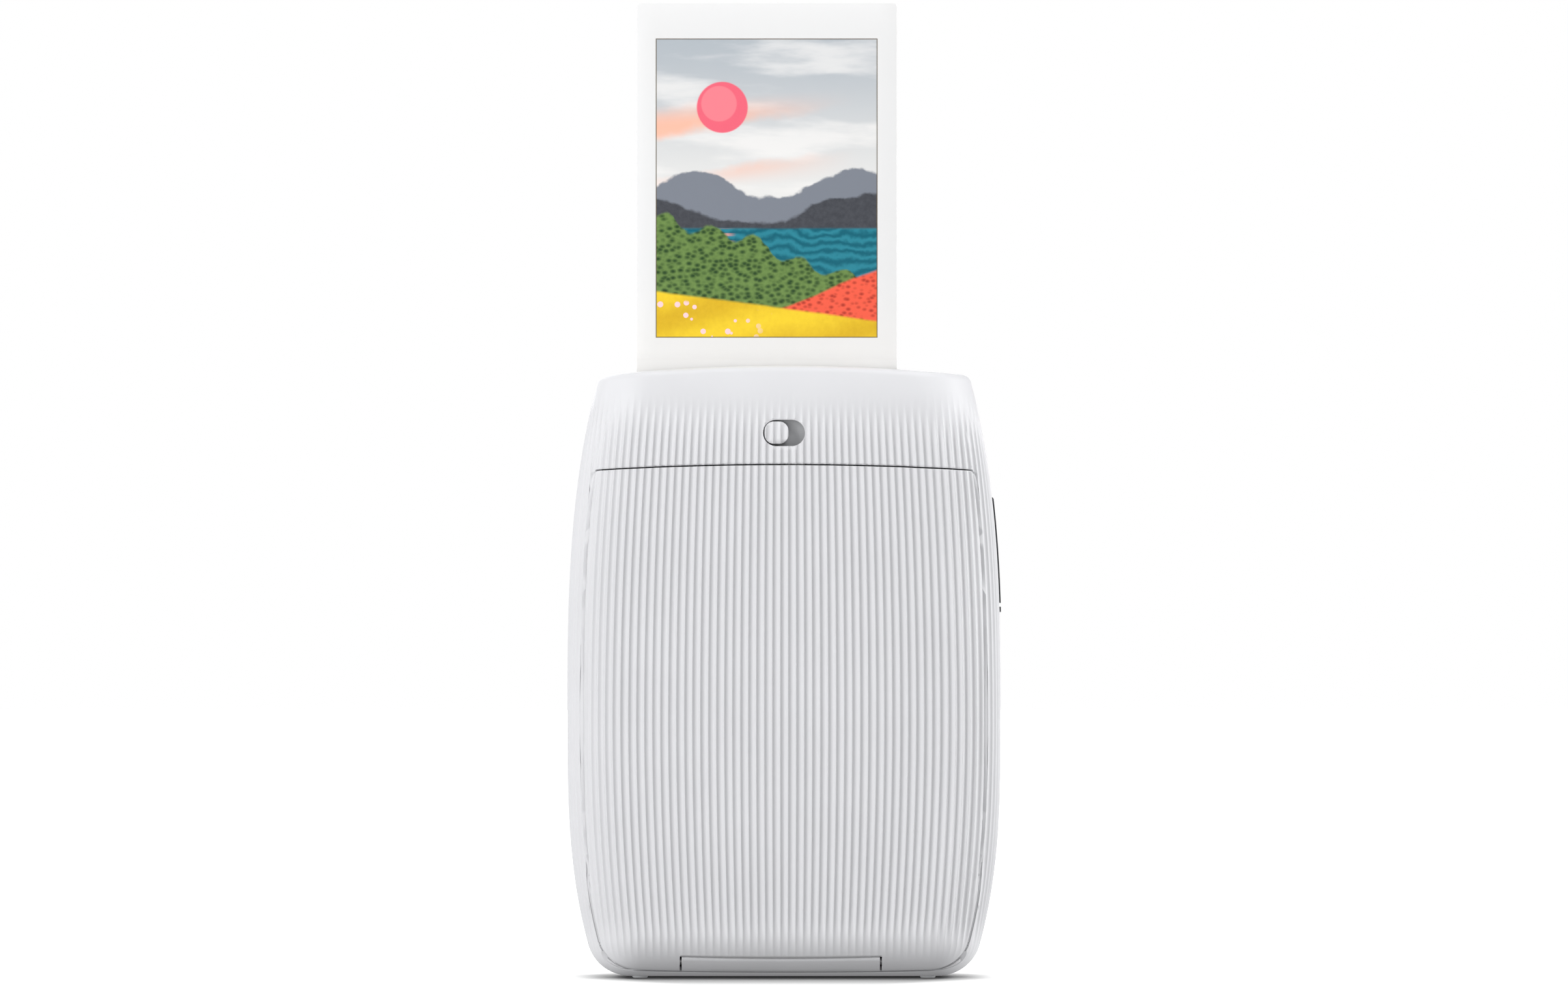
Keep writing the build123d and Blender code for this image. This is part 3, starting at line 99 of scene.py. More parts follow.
class Plan:
    """The plan section at one height, walked from the middle of the door side round +X."""

    def __init__(self, z):
        self.w = half_width(z)
        self.d = half_depth(z)
        self.cx = self.w - CORNER
        self.cy = self.d - CROWN + math.sqrt((CROWN - CORNER) ** 2 - self.cx ** 2)
        self.start = math.pi / 2 - math.atan2(self.cy - (self.d - CROWN), self.cx)
        self.face = CROWN * self.start
        self.bend = CORNER * (math.pi / 2 - self.start)
        self.side = 2 * self.cy
        self.whole = 2 * self.face + 2 * self.bend + self.side

    def at(self, walked):
        """The point after walking that far, and the direction that it faces, as an angle."""
        if walked < self.face:
            angle = walked / CROWN
            return CROWN * math.sin(angle), -(self.d - CROWN) - CROWN * math.cos(angle), angle
        walked -= self.face
        if walked < self.bend:
            angle = self.start + walked / CORNER
            return self.cx + CORNER * math.sin(angle), -self.cy - CORNER * math.cos(angle), angle
        walked -= self.bend
        if walked < self.side:
            return self.w, walked - self.cy, math.pi / 2
        walked -= self.side
        if walked < self.bend:
            angle = math.pi / 2 + walked / CORNER
            return self.cx + CORNER * math.sin(angle), self.cy - CORNER * math.cos(angle), angle
        angle = math.pi - (self.face - (walked - self.bend)) / CROWN
        return CROWN * math.sin(angle), (self.d - CROWN) - CROWN * math.cos(angle), angle

    def reach(self, angle):
        """How far the section reaches in a direction, from which the wall's lean is found."""
        turn = min(angle, math.pi - angle)
        if turn < self.start:
            return (self.d - CROWN) * math.cos(turn) + CROWN
        return self.cx * math.sin(turn) + self.cy * math.cos(turn) + CORNER

    def door_edge(self):
        """Distance walked to where the door's side seam stands."""
        share = min(1.0, (-DOOR_PLANE_Y - self.cy) / CORNER)
        angle = max(self.start, math.acos(share))
        return self.face + CORNER * (angle - self.start)

    def case_edge(self):
        """Distance walked to the seam between the two case halves."""
        share = (CASE_SEAM_Y - self.cy) / CORNER
        return self.face + self.bend + self.side + CORNER * math.asin(max(0.0, share))


def facing(angle, z):
    """Outward normal of the wall, with its lean."""
    step = 0.05
    lean = (Plan(z + step).reach(angle) - Plan(z - step).reach(angle)) / (2 * step)
    return Vector((math.sin(angle), -math.cos(angle), -lean)).normalized()


print("waist", 2 * half_width(WAIST_Z), "mm wide")
print("at the door's top seam", round(2 * half_width(DOOR_TOP_Z), 2), "mm wide")

# %% [markdown]
# ## Columns and rows of the skin
#
# The skin is a grid that is laid over the form. Its columns run up the flutes: nine to a
# flute, closer together at the ridges, because that is where the surface turns. Where the
# door's side seams and the case's seam run, the columns follow the seam instead. The rows
# do the same along the door's foot and along the arc of its top seam. Above that arc the
# form draws in past the door's plane, so there the side seam's columns go on between the
# last flute of the door and the first one beside it, and don't fold over either.

# %% Flutes, columns and rows
PITCH = 1.654
FLUTE_DEEP = 0.52
FLUTE_STOPS = (-0.45, -0.35, -0.22, -0.08, 0.08, 0.22, 0.35, 0.45, 0.5)
EDGE_STOPS = (0.125, 0.2, 0.3, 0.42, 0.6)
FLUTES_DOOR = 25
FLUTES_SIDE = (27, 35)
FLUTE_WAIST_Z = 53.0
FLUTE_UPPER_TAPER = 1.9e-5
FLUTE_LOWER_TAPER = 3.1e-5
BASE_ROWS = 12
ABOVE_ROWS = 12


def flute_scale(z):
    """Flutes draw together as the body narrows."""
    if z > FLUTE_WAIST_Z:
        return 1 - FLUTE_UPPER_TAPER * (z - FLUTE_WAIST_Z) ** 2
    return 1 - FLUTE_LOWER_TAPER * (FLUTE_WAIST_Z - z) ** 2


def both_sides(stops):
    return [-s for s in reversed(stops)] + [0.0] + list(stops)


def between(low, high, count):
    return [("between", low, high, (i + 1) / (count + 1)) for i in range(count)]


columns = [("flute", 0.0)]
columns += [("flute", k + f) for k in range(FLUTES_DOOR) for f in FLUTE_STOPS if k + f > 0]
door_side = [("door", s) for s in both_sides(EDGE_STOPS)]
columns += between(columns[-1], door_side[0], 7) + door_side
outer = [("flute", k + f) for k in range(*FLUTES_SIDE) for f in FLUTE_STOPS]
columns += between(columns[-1], outer[0], 5) + outer
case_side = [("case", s) for s in both_sides(EDGE_STOPS)]
columns += between(columns[-1], case_side[0], 24) + case_side
columns += between(case_side[-1], ("front", 0.0), 34) + [("front", 0.0)]


def walked(column, plan, z):
    """Distance round the section at which a column stands."""
    if column[0] == "flute":
        return column[1] * PITCH * flute_scale(z)
    if column[0] == "door":
        edge = plan.door_edge()
        if z > DOOR_TOP_Z:
            edge = max(edge, (FLUTES_DOOR + 0.5) * PITCH * flute_scale(z))
        return edge + column[1]
    if column[0] == "case":
        return plan.case_edge() + column[1]
    if column[0] == "front":
        return plan.whole
    low = walked(column[1], plan, z)
    high = walked(column[2], plan, z)
    return low + (high - low) * column[3]


LOW_LEVEL = 12.0
rows = [("base", i / BASE_ROWS) for i in range(BASE_ROWS)]
rows += [("foot", s) for s in both_sides(EDGE_STOPS)]
rows += [("above", (i + 1) / ABOVE_ROWS) for i in range(ABOVE_ROWS)]
rows += [("rise", t) for t in (0.35, 0.7)]
rows += [("level", LOW_LEVEL + 3.0 * i) for i in range(30)]
rows += [("arc", d) for d in (-5.0, -4.0, -3.4, -2.9, -2.5, -2.1, -1.7, -1.3, -0.9)]
rows += [("arc", d) for d in both_sides(EDGE_STOPS)]
rows += [("arc", d) for d in (1.0, 1.8, 2.8, 4.0, 5.2)]
rows += [("level", 112.6 + 0.8 * i) for i in range(14)]
rows += [("crown", t) for t in (0.0, 0.12, 0.25, 0.38, 0.5, 0.62, 0.75, 0.88, 1.0)]
rows += [("roof", s) for s in (0.15, 0.35, 0.55, 0.75, 0.9, 0.97)]
print(len(columns), "columns and", len(rows), "rows for half of the body")

# %% [markdown]
# ## Depth of the skin under the form
#
# Four things press the skin in: the flutes, whose ridges have a small radius, the rolled
# edges beside each seam, a shallow step in the door's edge near the foot, which lets the
# seam show from the front, and a hair's breadth everywhere, so that the skin lies just
# under the smooth CAD shell. The flutes run out near the top, above the foot, and close to
# the door's lower corners, as they do on the real shell.

# %% Depth
SKIN = 0.06
ROLL = 0.32
CASE_ROLL = 0.1
RIDGE_SHARE = 0.88
FADE_TOP = (109.0, 121.5)
FADE_LOW = (3.0, 14.5)
TRENCH = 0.3
TRENCH_DEEP = 0.12
TRENCH_RUN = (34.0, 14.0)
CORNER_FADE = (24.0, 16.0)
CORNER_NEAR = (1.6, 0.5)
TOP_SEAM_RUN = 12.0
TOP_CORNER_OUT = 0.2
SIDE_LEAN = 3.7
SIDE_LEAN_RUN = 30.0


def ease(low, high, value):
    t = min(1.0, max(0.0, (value - low) / (high - low)))
    return t * t * (3 - 2 * t)


def scallop(position):
    """Depth of a flute, 1 in its middle; position is counted in flutes."""
    g = abs(position - round(position)) * 2
    if g < RIDGE_SHARE:
        return 1 - g * g
    rest = 1 - RIDGE_SHARE
    curve = RIDGE_SHARE / rest
    return 1 - RIDGE_SHARE ** 2 - curve * rest ** 2 + curve * (1 - g) ** 2


def inside_door(point, normal):
    """Distance inside the door's outline, along the surface; negative on the case."""
    x, y, z = abs(point.x), point.y, point.z
    plane = (DOOR_PLANE_Y - y) / math.sqrt(max(0.01, 1 - normal.y ** 2))
    if z < DOOR_TOP_Z - TOP_SEAM_RUN:
        return plane
    top_plan = Plan(DOOR_TOP_Z)
    edge = top_plan.cx + math.sqrt(CORNER ** 2 - (DOOR_PLANE_Y + HALF_DEPTH - CORNER) ** 2)
    edge += TOP_CORNER_OUT
    drop = edge ** 2 / (2 * DOOR_TOP_ARC)
    edge += SIDE_LEAN * (DOOR_TOP_Z - drop - z) / (SIDE_LEAN_RUN - drop)
    across = DOOR_CORNER - (edge - x)
    up = DOOR_CORNER - (DOOR_TOP_Z - x * x / (2 * DOOR_TOP_ARC) - z)
    if across > 0 and up > 0:
        long = math.hypot(across, up)
        slope = math.hypot(across * normal.y, up) / long
        outline = (DOOR_CORNER - long) / max(0.3, slope)
    else:
        outline = DOOR_CORNER - max(across, up)
    return min(plane, outline)


def rolled(distance, radius=ROLL):
    """Depth of a rolled edge, for a distance from the edge."""
    near = radius - max(0.0, distance)
    if near <= 0:
        return 0.0
    return radius - math.sqrt(radius ** 2 - near ** 2)


def skin_depth(point, normal, position, front):
    inside = inside_door(point, normal)
    trench = TRENCH * ease(*TRENCH_RUN, point.z)
    if inside < -DOOR_GAP / 2:
        deep = SKIN + rolled(-inside - DOOR_GAP, CASE_ROLL)
    else:
        deep = SKIN + rolled(inside - trench)
    if -DOOR_GAP / 2 < inside < trench:
        deep += TRENCH_DEEP
    deep += rolled(abs(point.y - CASE_SEAM_Y) - 0.03)
    if front:
        return deep
    fade = ease(FADE_TOP[1], FADE_TOP[0], point.z) * ease(FADE_LOW[0], FADE_LOW[1], point.z)
    if point.z < CORNER_FADE[0]:
        fade *= 1 - ease(*CORNER_FADE, point.z) * ease(*CORNER_NEAR, abs(inside))
    return deep + FLUTE_DEEP * fade * scallop(position)


# %% [markdown]
# ## Placing one point of the skin
#
# Between foot and shoulder a point is simply on the wall. At the foot and at the top the
# wall turns over a round edge. A ball that rolls along the inside touches the wall and the
# floor plate at once: its centre is found in a few steps, and the round edge is the part
# of the ball between the two touching points.

# %% Points of the wall, the foot and the top
SEAM_ABOVE_BASE = 0.12
SEAM_HIGHEST = 0.86


def wall(column, z):
    plan = Plan(z)
    distance = walked(column, plan, z)
    x, y, angle = plan.at(min(distance, plan.whole))
    return Vector((x, y, z)), facing(angle, z), distance / (PITCH * flute_scale(z))


def foot_ball(column):
    z = BASE_Z + BASE_ROUND
    for _ in range(4):
        point, normal, position = wall(column, z)
        z = BASE_Z + BASE_ROUND + BASE_ROUND * normal.z
    return point - BASE_ROUND * normal, normal, position, z


def top_ball(column):
    z = TOP_Z - TOP_ROUND
    for _ in range(6):
        point, normal, position = wall(column, z)
        centre = point - TOP_ROUND * normal
        slope = math.atan(centre.x / TOP_ARC)
        z = TOP_Z - centre.x ** 2 / (2 * TOP_ARC) - TOP_ROUND / math.cos(slope) + TOP_ROUND * normal.z
    return centre, normal, position, Vector((math.sin(slope), 0, math.cos(slope))), z


def on_foot(column, ball, row):
    centre, normal, position, _ = ball
    low, high = -math.pi / 2, math.asin(normal.z)
    flat = Vector((normal.x, normal.y, 0)).normalized()
    reach = (DOOR_PLANE_Y - centre.y) / (BASE_ROUND * min(-0.05, flat.y))
    seam = -math.acos(min(1.0, max(0.0, reach)))
    seam = min(max(seam, low + SEAM_ABOVE_BASE), low + SEAM_HIGHEST * (high - low))
    kind, value = row
    margin = EDGE_STOPS[-1] / BASE_ROUND
    if kind == "base":
        angle = low + (seam - margin - low) * value
    elif kind == "foot":
        angle = seam + value / BASE_ROUND
    else:
        angle = seam + margin + (high - seam - margin) * value
    normal = flat * math.cos(angle) + Vector((0, 0, math.sin(angle)))
    return centre + BASE_ROUND * normal, normal, position


def placed(column, row, foot, top):
    kind, value = row
    if kind in ("base", "foot", "above"):
        return on_foot(column, foot, row)
    if kind == "rise":
        return wall(column, foot[3] + (LOW_LEVEL - foot[3]) * value)
    if kind == "level":
        return wall(column, value)
    if kind == "arc":
        z = DOOR_TOP_Z + value
        for _ in range(2):
            x = wall(column, z)[0].x
            z = DOOR_TOP_Z + value - x * x / (2 * DOOR_TOP_ARC)
        return wall(column, z)
    centre, normal, position, up, _ = top
    share = value if kind == "crown" else 1.0
    normal = (normal * (1 - share) + up * share).normalized()
    point = centre + TOP_ROUND * normal
    if kind == "roof":
        point.y *= 1 - value
    return point, normal, position


# %% The skin as a closed mesh
def fluted_skin():
    mesh = bmesh.new()
    bmesh.ops.create_grid(mesh, x_segments=len(columns) - 1, y_segments=len(rows) - 1, size=1.0)
    balls = [(foot_ball(c), top_ball(c)) for c in columns]
    for vert in mesh.verts:
        i = round((vert.co.x + 1) / 2 * (len(columns) - 1))
        j = round((vert.co.y + 1) / 2 * (len(rows) - 1))
        point, normal, position = placed(columns[i], rows[j], *balls[i])
        front = point.y > CASE_SEAM_Y or columns[i][0] == "front"
        point -= normal * skin_depth(point, normal, position, front)
        if i in (0, len(columns) - 1):
            point.x = 0.0
        vert.co = point * MM
    bmesh.ops.mirror(mesh, geom=mesh.verts[:] + mesh.edges[:] + mesh.faces[:], axis="X", merge_dist=1e-7)
    bmesh.ops.remove_doubles(mesh, verts=mesh.verts, dist=1e-7)
    open_edges = [e for e in mesh.edges if e.is_boundary]
    low = [e for e in open_edges if e.verts[0].co.z < 10 * MM]
    high = [e for e in open_edges if e.verts[0].co.z > 100 * MM]
    bmesh.ops.edgeloop_fill(mesh, edges=low)
    bmesh.ops.edgeloop_fill(mesh, edges=high)
    bmesh.ops.recalc_face_normals(mesh, faces=mesh.faces)
    data = bpy.data.meshes.new("skin_tool")
    left = sum(1 for e in mesh.edges if not e.is_manifold)
    mesh.to_mesh(data)
    mesh.free()
    tool = bpy.data.objects.new("skin_tool", data)
    bpy.context.scene.collection.objects.link(tool)
    print("skin", len(data.vertices), "points,", left, "open edges")
    return tool


# %% [markdown]
# ## Cutting the shells from the skin
#
# Each shell is a copy of its CAD piece that keeps only what lies inside the fluted skin. The
# inner ribs, the seams, the slot and the recess stay exactly where the CAD model has them,
# and the outside gets its flutes and its rolled edges. The manifold solver of the Boolean
# modifier does this in a moment on closed meshes, so the loose triangles of the copy are
# welded first.

# %% Shell pieces
SMOOTH_ANGLE = math.radians(38)


def link(name, data):
    piece = bpy.data.objects.new(name, data)
    bpy.context.scene.collection.objects.link(piece)
    return piece


def welded_copy(node):
    data = nodes[node].data.copy()
    data.materials.clear()
    mesh = bmesh.new()
    mesh.from_mesh(data)
    bmesh.ops.remove_doubles(mesh, verts=mesh.verts, dist=2e-6)
    bmesh.ops.dissolve_degenerate(mesh, edges=mesh.edges, dist=1e-7)
    mesh.to_mesh(data)
    mesh.free()
    return data


def finished_mesh(piece):
    """The piece's mesh with its modifiers applied."""
    ready = piece.evaluated_get(bpy.context.evaluated_depsgraph_get())
    data = bpy.data.meshes.new_from_object(ready)
    piece.modifiers.clear()
    piece.data = data
    return data


def smooth_by_angle(data, angle=SMOOTH_ANGLE):
    data.polygons.foreach_set("use_smooth", [True] * len(data.polygons))
    data.set_sharp_from_angle(angle=angle)


def carve(piece, tool, operation):
    cut = piece.modifiers.new(tool.name, "BOOLEAN")
    cut.operation = operation
    cut.solver = "MANIFOLD"
    cut.object = tool


def cut_shell(name, node, tool, lip=None):
    piece = link(name, welded_copy(node))
    carve(piece, tool, "INTERSECT")
    if lip:
        carve(piece, lip, "DIFFERENCE")
    data = finished_mesh(piece)
    smooth_by_angle(data)
    print(name, len(data.polygons), "faces")
    return piece


# %% The lip of the latch's recess
LATCH_Z = 112.7
RECESS_WIDTH = 8.65
RECESS_HEIGHT = 5.4
LIP = 0.34
LIP_POINTS = 14
LIP_STEPS = 5
FLUTE_MIDDLE = 0.14


def stadium(grow):
    """Outline of the recess, grown outwards by that much, as points in x and z."""
    radius = RECESS_HEIGHT / 2
    for side in (1, -1):
        for i in range(LIP_POINTS + 1):
            angle = side * math.pi / 2 - math.pi * i / LIP_POINTS
            x = side * (RECESS_WIDTH / 2 - radius) + (radius + grow) * math.cos(angle)
            yield x, LATCH_Z + (radius + grow) * math.sin(angle)


def recess_lip():
    """A plug that flares at its mouth, which rounds the edge of the recess off."""
    mesh = bmesh.new()
    mouth = []
    for step in range(LIP_STEPS + 1):
        angle = math.pi / 2 * step / LIP_STEPS
        mouth.append((LIP * (1 - math.cos(angle)), LIP * (1 - math.sin(angle))))
    levels = [(-0.02, 3 * LIP), *mouth, (LIP, -3 * LIP)]
    loops = []
    for grow, deep in levels:
        loops.append([])
        for x, z in stadium(grow):
            y = -half_depth(z) + CROWN - math.sqrt(CROWN ** 2 - x ** 2) + FLUTE_MIDDLE + deep
            loops[-1].append(mesh.verts.new(Vector((x, y, z)) * MM))
    for inner, outer in zip(loops, loops[1:]):
        for i in range(len(inner)):
            mesh.faces.new((inner[i - 1], inner[i], outer[i], outer[i - 1]))
    mesh.faces.new(loops[0])
    mesh.faces.new(loops[-1])
    bmesh.ops.recalc_face_normals(mesh, faces=mesh.faces)
    bmesh.ops.triangulate(mesh, faces=mesh.faces)
    data = bpy.data.meshes.new("recess_lip")
    mesh.to_mesh(data)
    mesh.free()
    return link("recess_lip", data)


# %% Cut the shells
KNOB_RISE = 0.08
skin_tool = fluted_skin()
lip_tool = recess_lip()
shells = {
    "rear_case": ("rear_shell", "case"),
    "front_case": ("front_shell", "case"),
    "film_door": ("door_shell", "door"),
    "latch_knob": ("knob_cap", "latch"),
}
made = {}
for node, (name, body) in shells.items():
    made[name] = cut_shell(name, node, skin_tool, lip_tool if node == "rear_case" else None)
    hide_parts(node)
    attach(made[name], body)
bpy.data.objects.remove(skin_tool)
bpy.data.objects.remove(lip_tool)
made["knob_cap"].data.transform(Matrix.Translation((0, 0, KNOB_RISE * MM)))

# %% [markdown]
# ## Shader maths written as Python
#
# A finish is a small graph of nodes. Two classes keep it readable: a Signal stands for one
# output socket, and arithmetic on it adds Math nodes; a Finish is one material, with one
# method that makes any node and a few that make the patterns used again and again. Sizes
# in a pattern are given in millimetres, because that is how one judges a grain by eye.

# %% Signal and Finish
class Signal:
    def __init__(self, finish, socket):
        self.finish = finish
        self.socket = socket

    def math(self, operation, first, second=None):
        inputs = {0: first} if second is None else {0: first, 1: second}
        return self.finish.node("ShaderNodeMath", {"operation": operation}, inputs)

    def __add__(self, other):
        return self.math("ADD", self, other)

    def __sub__(self, other):
        return self.math("SUBTRACT", self, other)

    def __rsub__(self, other):
        return self.math("SUBTRACT", other, self)

    def __mul__(self, other):
        return self.math("MULTIPLY", self, other)

    def __truediv__(self, other):
        return self.math("DIVIDE", self, other)

    def __lt__(self, other):
        return self.math("LESS_THAN", self, other)

    def __pow__(self, other):
        return self.math("POWER", self, other)

    def __abs__(self):
        return self.math("ABSOLUTE", self)

    __radd__ = __add__
    __rmul__ = __mul__

    def least(self, other):
        return self.math("MINIMUM", self, other)

    def most(self, other):
        return self.math("MAXIMUM", self, other)

    def wave(self):
        return self.math("SINE", self)

    def step(self, low, high):
        """0 below low, 1 above high, and a smooth step between them."""
        inputs = {"Value": self, "From Min": low, "From Max": high}
        return self.finish.node("ShaderNodeMapRange", {"interpolation_type": "SMOOTHSTEP"}, inputs)


class Finish:
    def __init__(self, name, **shader):
        self.material = bpy.data.materials.new(name)
        self.material.use_nodes = True
        self.tree = self.material.node_tree
        self.shader = self.tree.nodes["Principled BSDF"]
        for socket, value in shader.items():
            self.feed(socket.replace("_", " ").title().replace("Ior", "IOR"), value)

    def node(self, kind, settings=None, inputs=None, out=0):
        made_node = self.tree.nodes.new(kind)
        for key, value in (settings or {}).items():
            setattr(made_node, key, value)
        for key, value in (inputs or {}).items():
            self.join(made_node.inputs[key], value)
        return Signal(self, made_node.outputs[out])

    def join(self, socket, value):
        if isinstance(value, Signal):
            self.tree.links.new(value.socket, socket)
        else:
            socket.default_value = value

    def feed(self, name, value):
        if isinstance(value, tuple) and len(value) == 3:
            value = (*value, 1.0)
        self.join(self.shader.inputs[name], value)

    def place(self):
        return self.node("ShaderNodeTexCoord", out="Object")

    def axes(self):
        """x, y and z in millimetres."""
        split = self.node("ShaderNodeSeparateXYZ", inputs={0: self.place()}).socket.node
        return [Signal(self, split.outputs[i]) * (1 / MM) for i in range(3)]

    def grain(self, size, detail=2.0, stretch=(1, 1, 1), rough=0.5):
        """Noise whose blobs are about that many millimetres across, drawn out along an axis."""
        scale = tuple(1 / (size * MM * s) for s in stretch)
        where = self.node("ShaderNodeMapping", inputs={"Vector": self.place(), "Scale": scale})
        inputs = {"Vector": where, "Scale": 1.0, "Detail": detail, "Roughness": rough}
        return self.node("ShaderNodeTexNoise", inputs=inputs)

    def cells(self, size, stretch=(1, 1, 1), out="Distance", feature="F1"):
        scale = tuple(1 / (size * MM * s) for s in stretch)
        where = self.node("ShaderNodeMapping", inputs={"Vector": self.place(), "Scale": scale})
        return self.node("ShaderNodeTexVoronoi", {"feature": feature}, {"Vector": where, "Scale": 1.0}, out)

    def mix(self, low, high, amount):
        low, high = [(*c, 1.0) if isinstance(c, tuple) and len(c) == 3 else c for c in (low, high)]
        return self.node("ShaderNodeMix", {"data_type": "RGBA"}, {0: amount, 6: low, 7: high}, 2)

    def relief(self, height, deep):
        """Bump whose height runs from 0 to 1 over that many millimetres."""
        inputs = {"Height": height, "Distance": deep * MM, "Strength": 1.0}
        self.feed("Normal", self.node("ShaderNodeBump", inputs=inputs))


def shade(colour, share):
    return tuple(min(1.0, c * share) for c in colour)


# %% [markdown]
# ## Finishes of the outside
#
# The shells are moulded in one pale, cool grey-white plastic. Its tool was eroded with
# sparks, which leaves a fine even grain without gloss. The colour barely varies, so the
# finish is mostly roughness and a very shallow relief; the flutes do the rest. The case's
# ledge behind the door's seam lies in the shadow of the gap, so it is painted darker there.

# %% Moulded plastic
WHITE = (0.580, 0.581, 0.597)
LEDGE_HALF = 0.03
LEDGE_SHARE = 0.5


def moulded(name, colour, rough=0.5, grain=0.22, deep=0.006, spread=0.04, ledge=None):
    """Matte moulded plastic with a spark-eroded grain and a slow drift in its colour."""
    finish = Finish(name, ior=1.47)
    drift = finish.grain(18.0, detail=3.0)
    speck = finish.grain(grain, detail=2.0, rough=0.6)
    plastic = finish.mix(shade(colour, 1 - spread), shade(colour, 1 + spread), drift)
    if ledge:
        _, y, z = finish.axes()
        in_seam = (abs(y - ledge) < LEDGE_HALF) * z.step(TRENCH_RUN[0], TRENCH_RUN[1])
        plastic = finish.mix(plastic, shade(colour, LEDGE_SHARE), in_seam)
    finish.feed("Base Color", plastic)
    finish.feed("Roughness", rough - 0.08 + 0.16 * speck)
    finish.relief(speck, deep)
    return finish.material


shell_white = moulded("shell_white", WHITE, ledge=DOOR_PLANE_Y + DOOR_GAP)
print("first finish:", shell_white.name, len(shell_white.node_tree.nodes), "nodes")

# %% Give a finish to a piece
def dress(piece, material):
    piece.data.materials.clear()
    piece.data.materials.append(material)


for name in ("rear_shell", "front_shell", "door_shell"):
    dress(made[name], shell_white)
knob_white = moulded("knob_white", WHITE, rough=0.46, deep=0.004)
dress(made["knob_cap"], knob_white)

# %% [markdown]
# ## The print
#
# A developed instant film is a thin card whose face is a printed window in a white frame.
# The frame's lower border holds the emptied pod, and a fold line crosses it. The card is a
# block with round corners; cuts across it at the window and at the fold lines give the
# edges that are then pushed back a few hundredths of a millimetre.

# %% Print card
PICTURE_WIDTH = 46.0
PICTURE_HEIGHT = 62.0
WINDOW_DEEP = 0.1
card_low, card_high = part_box("print_card")
picture_low, picture_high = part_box("print_image")
FOLD_Z = 128.1
FOLDS = ((FOLD_Z, 0.03), (FOLD_Z + 1.1, 0.015))
FOLD_HALF = 0.22


def cut_across(mesh, axis, place):
    normal = Vector((0, 0, 0))
    normal[axis] = 1
    point = Vector((0, 0, 0))
    point[axis] = place
    bmesh.ops.bisect_plane(
        mesh, geom=mesh.verts[:] + mesh.edges[:] + mesh.faces[:], dist=1e-8, plane_co=point, plane_no=normal
    )


def print_card_piece():
    mesh = bmesh.new()
    bmesh.ops.create_cube(mesh, size=1.0)
    bmesh.ops.scale(mesh, vec=card_high - card_low, verts=mesh.verts)
    bmesh.ops.translate(mesh, vec=(card_low + card_high) / 2, verts=mesh.verts)
    corners = [e for e in mesh.edges if abs((e.verts[0].co - e.verts[1].co).normalized().y) > 0.9]
    bmesh.ops.bevel(
        mesh, geom=corners, offset=0.9 * MM, segments=6, profile=0.5, affect="EDGES", material=-1
    )
    rim = [e for e in mesh.edges if len(e.link_faces) == 2 and e.calc_face_angle() > 1.0]
    bmesh.ops.bevel(
        mesh, geom=rim, offset=0.09 * MM, segments=2, profile=0.5, affect="EDGES", material=-1
    )
    for place in (picture_low.x, picture_high.x):
        cut_across(mesh, 0, place)
    for place in (picture_low.z, picture_high.z):
        cut_across(mesh, 2, place)
    for place, _ in FOLDS:
        for step in (-FOLD_HALF, 0, FOLD_HALF):
            cut_across(mesh, 2, (place + step) * MM)
    for vert in mesh.verts:
        for place, deep in FOLDS:
            if abs(vert.co.z - place * MM) < 1e-6 and vert.co.y < card_low.y + 1e-6:
                vert.co.y += deep * MM
    window = [
        f for f in mesh.faces
        if picture_low.x < f.calc_center_median().x < picture_high.x
        and picture_low.z < f.calc_center_median().z < picture_high.z
        and f.normal.y < -0.9
    ]
    sunk = bmesh.ops.extrude_face_region(mesh, geom=window)["geom"]
    bmesh.ops.delete(mesh, geom=window, context="FACES")
    moved = [g for g in sunk if isinstance(g, bmesh.types.BMVert)]
    bmesh.ops.translate(mesh, vec=(0, WINDOW_DEEP * MM, 0), verts=moved)
    bmesh.ops.recalc_face_normals(mesh, faces=mesh.faces)
    data = bpy.data.meshes.new("film_border")
    mesh.to_mesh(data)
    mesh.free()
    smooth_by_angle(data, math.radians(50))
    return link("film_border", data)


film_border = print_card_piece()
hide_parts("print_card")
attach(film_border, "print")
print("film border", len(film_border.data.polygons), "faces")

# %% [markdown]
# ## Paper white, and the picture
#
# The border is a coated paper, near white, and warmer towards the slot. Its lightness is
# painted shade and light: darker at the top, where the lamps from above fall strongest, and
# paler towards the slot. The picture is a made-up view of a lake at dusk, in layers from
# far to near, each one a mask that is painted over the last.

# %% Border of the film
border_white = Finish("border_white", roughness=0.34, ior=1.5)
_, _, border_z = border_white.axes()
# Painted shade and light: the paper is darker at the top, and paler and warmer towards the slot.
slot_light_and_warmth = border_z.step(150.0, 122.0)
mottle = border_white.grain(7.0, detail=4.0)
paper = border_white.mix((0.745, 0.745, 0.745), (0.79, 0.78, 0.76), slot_light_and_warmth * (0.7 + 0.3 * mottle))
fold_mark = abs(border_z - FOLD_Z).step(0.5, 0.05) * border_white.grain(2.0, stretch=(3, 1, 1))
border_white.feed("Base Color", border_white.mix(paper, (0.72, 0.70, 0.68), fold_mark * 0.2))
border_white.feed("Coat Weight", 0.25)
border_white.relief(border_white.grain(0.5, detail=3.0), 0.004)
dress(film_border, border_white.material)

# %% Picture on the film
picture = Finish("dusk_picture", roughness=0.16, ior=1.5)
picture_x, _, picture_z = picture.axes()
u = (picture_x - picture_low.x / MM) / PICTURE_WIDTH
v = (picture_z - picture_low.z / MM) / PICTURE_HEIGHT
ripple = picture.grain(9.0, detail=5.0) - 0.5
fine = picture.grain(1.1, detail=4.0, rough=0.65)
foliage = picture.cells(1.3, stretch=(1, 1, 0.7))

